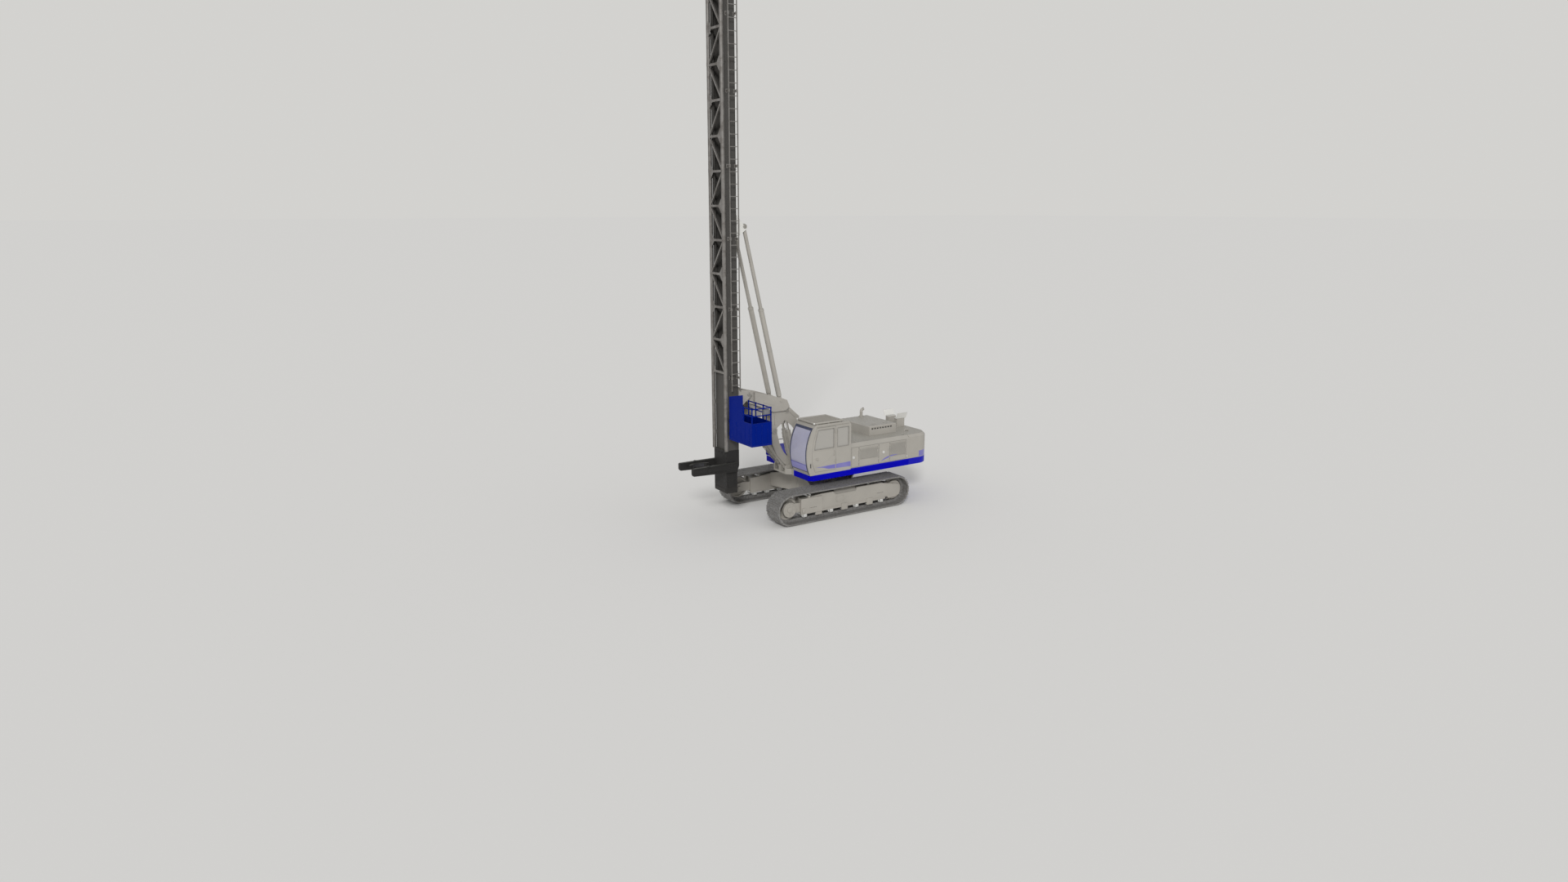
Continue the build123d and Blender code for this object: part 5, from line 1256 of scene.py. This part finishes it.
def pin_end():
    """Keeper disc on a pin's end: a turned cap with three bolts."""
    disc = lathe([(0.0, 0.062), (0.008, 0.062), (0.011, 0.058), (0.011, 0.030), (0.014, 0.026),
                  (0.014, 0.004)], 28)
    return join(disc, bolt_circle(0.011 * Z, Z, 0.044, 3, 0.014))


class RIG_OT_linkage(bpy.types.Operator):
    """Adds pin caps, doubler rings, ribs and welds to the boom arm, head and frame ears."""
    bl_idname = "rig.linkage"
    bl_label = "Linkage fittings"

    def execute(self, context):
        bead = context.scene.rig_sizes.weld
        head_pins = [ARM_TOP + 0.312 * Y, LEVEL_TOP + 0.312 * Y, LEADER_PIN + 0.420 * Y]
        for body, slot, places in (
                ("upper", "deck_paint", ARM_FOOT + 0.359 * Y),
                ("boom_head", "body_paint", head_pins),
                ("leader", "white_paint", STAY_TOP + 0.390 * Y)):
            caps = placed(pin_end(), places, Y, X)
            fitting("pin_caps_" + body, both_sides(caps), "zinc_bolt_steel", body)

        # Doubler rings round the pins, on the outer faces of cheeks and arms
        doubler = lathe([(-0.001, 0.098), (0.006, 0.098), (0.008, 0.095), (0.008, 0.052), (-0.001, 0.052)],
                        36, hole=True)
        rings = placed(doubler, np.array([ARM_TOP, LEVEL_TOP]) + CHEEK_FACE * Y, Y, X)
        large = placed(scaled(doubler, (1.25, 1.25, 1.0)), LEADER_PIN + CHEEK_FACE * Y, Y, X)
        # Stiffeners, a weld and a cover on the cheeks
        ribs = [slab(outline, CHEEK_FACE, CHEEK_FACE + 0.018, 0.003) for outline in (
            [[1.160, 3.300], [0.935, 3.070], [0.965, 3.040], [1.195, 3.270]],
            [[1.690, 3.298], [1.665, 2.860], [1.705, 2.860], [1.730, 3.298]])]
        edge_line = [(1.190, 3.420), (1.330, 3.298), (1.800, 3.298), (2.471, 3.598), (2.473, 3.975)]
        edge = weld(in_plane(edge_line, 1, CHEEK_FACE + 0.001), Y, bead)
        cover = placed(pad(0.420, 0.150, 0.006, 0.03, 0.002), (1.950, 0.378, 3.640), Y, (0.95, 0.0, 0.31))
        parts = join(rings, large, *ribs, edge, cover)
        fitting("head_fittings", both_sides(parts), "body_enamel", "boom_head")

        foot_ring = placed(doubler, ARM_FOOT + (ARM_FACE + 0.001) * Y, Y, X)
        panel = [[1.110, 1.560], [1.290, 1.640], [1.500, 1.890], [1.640, 2.190], [1.700, 2.360],
                 [1.640, 2.370], [1.565, 2.200], [1.420, 1.950], [1.200, 1.700], [1.080, 1.600]]
        rib = slab(inset(panel, 0.004), ARM_FACE, ARM_FACE + 0.006, 0.002)
        seam_line = [[1.060, 1.620], [1.180, 1.716], [1.390, 1.975], [1.530, 2.245]]
        seam = weld(in_plane(seam_line, 1, ARM_FACE + 0.0015), Y, bead)
        fitting("arm_fittings", both_sides(join(foot_ring, rib, seam)), "body_enamel", "boom_arm")
        return {"FINISHED"}


class RIG_OT_cylinders(bpy.types.Operator):
    """Adds glands, collars, ports, pipes and clips to the three pairs of cylinders."""
    bl_idname = "rig.cylinders"
    bl_label = "Cylinder fittings"

    def execute(self, context):
        pipe_radius = context.scene.rig_sizes.hose / 2
        pipe_start, pipe_gap, stand_off = 0.16, 0.05, 0.024
        nipple = lathe([(0.0, 0.020), (0.014, 0.020), (0.014, 0.013), (0.026, 0.013)], 12)
        pairs = (
            # body, foot pin, top pin, side offset, barrel radius, rod radius, barrel's share of the length
            ("level_barrels", LEVEL_FOOT, LEVEL_TOP, CYLINDER_Y, 0.065, 0.042, 0.62),
            ("luff_barrels", LUFF_FOOT, LUFF_TOP, CYLINDER_Y, 0.065, 0.042, 0.66),
            ("stay_barrels", STAY_FOOT, STAY_TOP, STAY_Y, 0.080, 0.057, 0.54),
        )
        for body, foot, top, y, barrel, rod, share in pairs:
            skin_radius = barrel - 0.001
            collar = lathe([
                (-0.070, skin_radius), (-0.066, barrel + 0.006), (-0.004, barrel + 0.006),
                (0.0, barrel + 0.003), (0.004, rod + 0.012), (0.014, rod + 0.009), (0.014, rod + 0.0008),
                (-0.002, rod + 0.0008), (-0.002, skin_radius)], 36, hole=True)
            ring = lathe([(-0.008, skin_radius), (-0.006, barrel + 0.004), (0.006, barrel + 0.004),
                          (0.008, skin_radius)], 36, hole=True)
            gland = join(collar, bolt_circle(0.0035 * Z, Z, (barrel + rod) / 2 + 0.005, 8, 0.011))
            parts = [(gland, share), (ring, 0.55 * share)]
            if body != "stay_barrels":
                # One pipe a barrel, on the side that looks back from the line of the pins
                run = (share - pipe_gap - pipe_start) * np.linalg.norm(top - foot)
                root = -(barrel - 0.002) * Y
                rise = -(stand_off + 0.002) * Y
                pipe = handle(root, root + run * Z, rise, 0.015, pipe_radius, -X, 8)
                clip = pad(0.050, 0.030, stand_off + pipe_radius + 0.004, 0.006, 0.003)
                clip_places = np.outer((0.2, 0.5, 0.8), run * Z) - skin_radius * Y
                port = placed(nipple, -(barrel - 0.003) * Y, -Y)
                parts.append((join(pipe, placed(clip, clip_places, -Y), port), pipe_start))
            surfaces = [
                placed(part, foot + (top - foot) * length_share + offset * Y, top - foot, Y)
                for offset in (y, -y) for part, length_share in parts]
            fitting(body + "_fittings", join(*surfaces), "body_enamel", body)
        return {"FINISHED"}


class RIG_OT_leader_fittings(bpy.types.Operator):
    """Adds section flanges, gussets, joint bands, ladder clamps and welds to the leader."""
    bl_idname = "rig.leader_fittings"
    bl_label = "Leader fittings"

    def execute(self, context):
        # Bolted flanges where the sections of the mast meet, every third bay
        joints = LATTICE_LOW + BAY * np.arange(3, BAY_COUNT, 3)
        lip, half = 0.022, 0.014
        front, back = GIRDER_FRONT - 0.02, GIRDER_REAR
        around = in_plane([(front, -GIRDER_SIDE), (back, -GIRDER_SIDE), (back, GIRDER_SIDE),
                           (front, GIRDER_SIDE)], 2, 0.0)
        flange = sweep([(-lip, -half), (0.001, -half), (0.001, half), (-lip, half)], around, Z)
        rear_places = grid_places((back - lip / 2,), np.linspace(-GIRDER_SIDE, GIRDER_SIDE, 8), (half,))
        bolt_ys = (GIRDER_SIDE + lip / 2, -GIRDER_SIDE - lip / 2)
        side_places = grid_places(np.linspace(back + 0.05, GIRDER_FRONT - 0.06, 4), bolt_ys, (half,))
        section = join(flange, bolts(np.concatenate([rear_places, side_places]), Z, 0.018))
        fitting("mast_flanges", copies(section, np.outer(joints, Z)), "mast_enamel", "leader")

        # Gussets where the lattice meets the guide tubes, one in each corner of a bay
        plates = []
        for number in range(BAY_COUNT):
            for node, lift in ((number, 1), (number + 1, -1)):
                side = 1 if node % 2 else -1
                corner = (GUIDE_X + 0.026, side * (GUIDE_Y - GUIDE_RADIUS + 0.004),
                          LATTICE_LOW + node * BAY - 0.032 + lift * 0.030)
                outline = [[0.0, 0.0], [0.0, lift * 0.170], [-side * 0.030, lift * 0.170],
                           [-side * 0.170, 0.0]]
                plates.append(placed(stack(outline, [(0.0, 0.0), (0.008, 0.0)]), corner, X, Y))
        fitting("lattice_gussets", join(*plates), "guide_steel", "leader")

        # Joint bands round the guide tubes
        band_face = GUIDE_RADIUS + 0.0035
        band = lathe([(-0.0600, 0.0570), (-0.056, band_face), (0.056, band_face), (0.060, 0.0570)], hole=True)
        bands = copies(band, grid_places((GUIDE_X,), (GUIDE_Y, -GUIDE_Y), joints))
        fitting("guide_bands", bands, "guide_steel", "leader")

        # Welds and cover plates on the lower box, between the foot and the lattice
        edge = [(GIRDER_REAR, GIRDER_SIDE - 0.001, z) for z in (GIRDER_LOW + 0.01, LATTICE_LOW)]
        bead = weld(edge, (-0.7, 0.7, 0.0), context.scene.rig_sizes.weld)
        cover_bolts = bolts(grid_places((-0.070, 0.070), (0.006,), (-0.180, 0.0, 0.180)), Y, 0.016)
        cover = join(side_pad(ORIGIN, 0.180, 0.420, 0.006, 0.03, 0.002), cover_bolts)
        covers = copies(cover, grid_places((3.240,), (GIRDER_SIDE,), (4.400, 5.700)))
        fitting("girder_covers", both_sides(join(bead, covers)), "mast_enamel", "leader")

        # Ladder: clamp plates with two bolts and a foot plate at each stand-off
        heights = 4.510 + 2.050 * np.arange(8)
        clamp = join(side_pad(ORIGIN, 0.060, 0.090, 0.008, 0.010, 0.002),
                     bolts([(0.0, 0.008, 0.028), (0.0, 0.008, -0.028)], Y, 0.014))
        clamps = copies(clamp, grid_places(LADDER_XS, (LADDER_Y + 0.008,), heights))
        feet = side_pad(grid_places(LADDER_XS, (GIRDER_SIDE,), heights), 0.070, 0.110, 0.006, 0.008, 0.002)
        fitting("ladder_clamps", join(clamps, feet), "guide_steel", "leader")
        return {"FINISHED"}


class RIG_OT_foot_guide(bpy.types.Operator):
    """Adds jaw pads, arm bolts, hinge pins and cover plates to the foot and the pile guide."""
    bl_idname = "rig.foot_guide"
    bl_label = "Foot and pile guide"

    def execute(self, context):
        face = JAW_ARM_FACE
        heads = bolts(grid_places(np.linspace(3.200, 3.460, 4), (face,), (1.640, 1.745, 1.850)), Y, 0.030)
        rails = [slab(outline, face, face + 0.014, 0.002) for outline in (
            [[3.520, 1.668], [4.640, 1.708], [4.640, 1.722], [3.520, 1.682]],
            [[3.520, 1.856], [4.640, 1.856], [4.640, 1.870], [3.520, 1.870]])]
        end_plate = placed(pad(0.110, 0.170, 0.012, 0.012, 0.004), (4.700, JAW_ARM_Y, 1.790), X, Y)
        hinge = placed(pin_end(), (JAW_CENTRE[0], face, 1.775), Y, X)
        top_pin = placed(pin_end(), (JAW_CENTRE[0], JAW_ARM_Y, 1.890), Z, X)
        parts = join(heads, *rails, end_plate, hinge, top_pin)
        fitting("guide_arm_fittings", both_sides(parts), "foot_enamel", "leader")
        # Rubbing pads inside the jaws, each an arc of the bore
        angle = np.linspace(radians(48.0), radians(132.0), 20)
        arc = JAW_CENTRE + JAW_RADIUS * np.column_stack([np.cos(angle), np.sin(angle)])
        section = [(-0.001, -0.055), (0.014, -0.045), (0.014, 0.045), (-0.001, 0.055)]
        rub = sweep(section, in_plane(arc, 2, 1.775), Z)
        fitting("jaw_pads", both_sides(rub), "glass_rubber", "leader")
        plate = side_pad((3.330, GUIDE_Y, 1.300), 0.240, 0.360, 0.010, 0.03, 0.003)
        plate_bolts = bolts(grid_places((3.235, 3.425), (GUIDE_Y + 0.010,), (1.145, 1.300, 1.455)), Y, 0.024)
        shoe = placed(pad(0.640, 0.100, 0.012, 0.02, 0.003), (3.500, 0.0, 1.010), X, Y)
        grip_row = bolts(grid_places((3.500,), (-0.300, -0.100, 0.100, 0.300), (2.180,)), X, 0.028)
        parts = join(both_sides(join(plate, plate_bolts)), shoe, grip_row)
        fitting("foot_plates", parts, "foot_enamel", "leader")
        return {"FINISHED"}


class RIG_OT_basket_fittings(bpy.types.Operator):
    """Adds pressed ribs, post clamps, floor grating and a control box to the work basket."""
    bl_idname = "rig.basket_fittings"
    bl_label = "Basket fittings"

    def execute(self, context):
        (x_low, y_low, z_low), (x_high, y_high, z_high) = BASKET_LOW, BASKET_HIGH
        centre = (BASKET_LOW + BASKET_HIGH) / 2
        rib = pad(0.024, 0.560, 0.006, 0.008, 0.003)
        ribs = [placed(rib, grid_places((2.910, 3.110, 3.310), (y_high,), centre[2:]), Y, X)]
        ribs += [placed(rib, grid_places((x,), np.linspace(0.680, 1.640, 5), centre[2:]), axis, Y)
                 for x, axis in ((x_high, X), (x_low, -X))]
        corner = rounded_rectangle(x_high - x_low, y_high - y_low, 0.004, 2) + centre[:2]
        section = [(-0.008, -0.020), (0.001, -0.020), (0.001, 0.020), (-0.008, 0.016)]
        skirt = sweep(section, in_plane(corner, 2, z_low + 0.022), Z, True)
        knot = lathe([(-0.024, 0.0190), (-0.020, 0.0235), (0.020, 0.0235), (0.024, 0.0190)], 16)
        post = 0.020
        posts = [(x_low + post, y) for y in (0.520, 0.930, 1.360, 1.780)]
        posts += [(x_high - post, y) for y in (1.780, 1.310)]
        rails = (BASKET_RAIL, (z_high + BASKET_RAIL) / 2)
        knots = [copies(knot, in_plane(posts, 2, z)) for z in rails]
        stand = np.array([2.885, 1.690, 0.0])
        stay = tube([stand + 3.340 * Z, stand + 3.565 * Z], 0.014, X)
        fitting("basket_fittings", join(*ribs, skirt, *knots, stay), "basket_enamel", "leader")
        box = copies(pad(0.200, 0.130, 0.150, 0.02, 0.010), stand + 3.560 * Z)
        lever = lathe([(0.0, 0.016), (0.012, 0.008), (0.050, 0.006), (0.056, 0.012), (0.076, 0.013),
                       (0.084, 0.004)], 12)
        levers = copies(lever, stand + 3.710 * Z + np.outer((-0.060, 0.0, 0.060), X))
        fitting("basket_controls", join(box, levers), "console_plastic", "leader")
        # Floor: expanded steel drawn as crossing bars
        floor = []
        for axis, pitch, depth in ((0, 0.040, 0.016), (1, 0.080, 0.012)):
            across = 1 - axis
            ends = np.zeros((2, 3))
            ends[:, 2] = BASKET_FLOOR
            ends[:, across] = BASKET_LOW[across] + 0.014, BASKET_HIGH[across] - 0.014
            bar = sweep([(-0.002, 0.0), (0.002, 0.0), (0.002, depth), (-0.002, depth)], ends, Z)
            rows = np.arange(BASKET_LOW[axis] + 0.040, BASKET_HIGH[axis] - 0.030, pitch)
            floor.append(copies(bar, np.outer(rows, np.eye(3)[axis])))
        fitting("basket_grating", join(*floor), "zinc_bolt_steel", "leader")
        return {"FINISHED"}


class RIG_OT_head_sheaves(bpy.types.Operator):
    """Replaces the plain head sheaves by grooved ones with webs, and adds axle keepers and bolts."""
    bl_idname = "rig.head_sheaves"
    bl_label = "Head sheaves"

    def execute(self, context):
        bore, rim = 0.0402, high("head_sheaves")[2] - SHEAVE_AXLE[2]
        # One closed section: hub, thin web, and a rim with a round rope groove
        half = [(-0.030, bore), (-0.030, 0.075), (-0.012, 0.085), (-0.009, rim - 0.055),
                (-0.024, rim - 0.040), (-0.024, rim - 0.003), (-0.018, rim)]
        angle = np.linspace(pi, 0.0, 9)
        groove = [(0.011 * np.cos(a), rim - 0.003 - 0.020 * np.sin(a)) for a in angle]
        other_half = [(-height, radius) for height, radius in half[::-1]]
        wheel = lathe(half + groove + other_half, 48, hole=True)
        angle = np.repeat(2 * pi * np.arange(6) / 6, 2)
        rib_places = 0.120 * np.column_stack([np.cos(angle), np.sin(angle), 0.0 * angle])
        rib_places[:, 2] = np.tile((-0.005, 0.005), 6)
        ribs = copies(pad(0.085, 0.014, 0.020, 0.004, 0.002), rib_places, spin(angle))
        spacer = lathe([(-0.0445, bore), (-0.0445, 0.070), (0.0445, 0.070), (0.0445, bore)], 32, hole=True)
        wheels = join(
            placed(join(wheel, ribs), SHEAVE_AXLE + np.outer((-0.150, 0.0, 0.150), Y), Y, X),
            placed(spacer, SHEAVE_AXLE + np.outer((-0.075, 0.075), Y), Y, X))
        piece = fitting("rope_sheaves", wheels, "track_manganese_steel", "head_sheaves")
        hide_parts("head_sheaves")
        keeper = placed(pin_end(), SHEAVE_AXLE + 0.280 * Y, Y, X)
        deck = low("leader_head")[2] + 0.040
        deck_bolts = bolts(grid_places(np.linspace(3.080, 3.500, 5), (0.365,), (deck,)), Z, 0.024)
        fitting("head_keepers", both_sides(join(keeper, deck_bolts)), "mast_enamel", "leader")
        return {"FINISHED"}


class RIG_OT_studio(bpy.types.Operator):
    """Sets the floor, a soft sun, the pale background and the camera at the photo's angle."""
    bl_idname = "rig.studio"
    bl_label = "Studio"

    def execute(self, context):
        scene = context.scene
        scene.view_settings.view_transform = "Standard"
        corners = 900.0 * np.array([(-1, -1, 0), (1, -1, 0), (1, 1, 0), (-1, 1, 0)])
        floor = bare_object("floor", (corners, [np.arange(4)[None]]))
        floor.data.materials.append(material("studio_floor"))

        world = bpy.data.worlds.new("studio")
        world.use_nodes = True
        world.node_tree.nodes.clear()
        add = partial(add_node, world.node_tree)
        seen = add("LightPath", output="Is Camera Ray")
        room = add("Background", {"Color": linear("F6F6F7"), "Strength": 0.62})
        backdrop = add("Background", {"Color": STUDIO_PALE, "Strength": 0.84})
        add("OutputWorld", {0: add("MixShader", {0: seen, 1: room, 2: backdrop})})
        scene.world = world

        sun = bpy.data.lights.new("key", "SUN")
        sun.energy = 1.6
        sun.angle = radians(12.0)
        key = bpy.data.objects.new("key", sun)
        key.rotation_euler = (radians(60.0), 0.0, radians(143.0))
        scene.collection.objects.link(key)

        optics = bpy.data.cameras.new("camera")
        optics.lens = 23.21
        optics.sensor_width = 36.0
        optics.clip_end = 3000.0
        camera = bpy.data.objects.new("camera", optics)
        camera.location = (18.408, 26.360, 9.512)
        camera.rotation_euler = (radians(76.97), 0.0, radians(146.8))
        scene.collection.objects.link(camera)
        scene.camera = camera
        return {"FINISHED"}


OPERATORS = (
    RIG_OT_frame_finish, RIG_OT_track_chains, RIG_OT_wheel_covers, RIG_OT_side_frames,
    RIG_OT_hood_fittings, RIG_OT_stripes, RIG_OT_weight_fittings, RIG_OT_cab_trim, RIG_OT_roof,
    RIG_OT_cab_inside, RIG_OT_linkage, RIG_OT_cylinders, RIG_OT_leader_fittings, RIG_OT_foot_guide,
    RIG_OT_basket_fittings, RIG_OT_head_sheaves, RIG_OT_studio,
)


class RIG_PT_panel(bpy.types.Panel):
    """Lists the rig's settings and the operators that make its pieces."""
    bl_idname = "RIG_PT_panel"
    bl_label = "Pile driver rig"
    bl_space_type = "VIEW_3D"
    bl_region_type = "UI"
    bl_category = "Rig"

    def draw(self, context):
        layout = self.layout
        for group in (context.scene.rig_colours, context.scene.rig_sizes):
            column = layout.column()
            for name in group.bl_rna.properties.keys():
                if name not in ("rna_type", "name"):
                    column.prop(group, name)
        for operator in OPERATORS:
            layout.operator(operator.bl_idname)


CLASSES = (RigColours, RigSizes, *OPERATORS, RIG_PT_panel)


def register():
    """Registers the classes and adds the two settings groups to the scene."""
    for item in CLASSES:
        bpy.utils.register_class(item)
    bpy.types.Scene.rig_colours = bpy.props.PointerProperty(type=RigColours)
    bpy.types.Scene.rig_sizes = bpy.props.PointerProperty(type=RigSizes)


def unregister():
    """Removes the settings groups and the classes."""
    del bpy.types.Scene.rig_sizes
    del bpy.types.Scene.rig_colours
    for item in reversed(CLASSES):
        bpy.utils.unregister_class(item)


def main():
    """Registers the add-on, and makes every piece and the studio."""
    register()
    for operator in OPERATORS:
        group, name = operator.bl_idname.split(".")
        getattr(getattr(bpy.ops, group), name)()


if __name__ == "__main__":
    main()
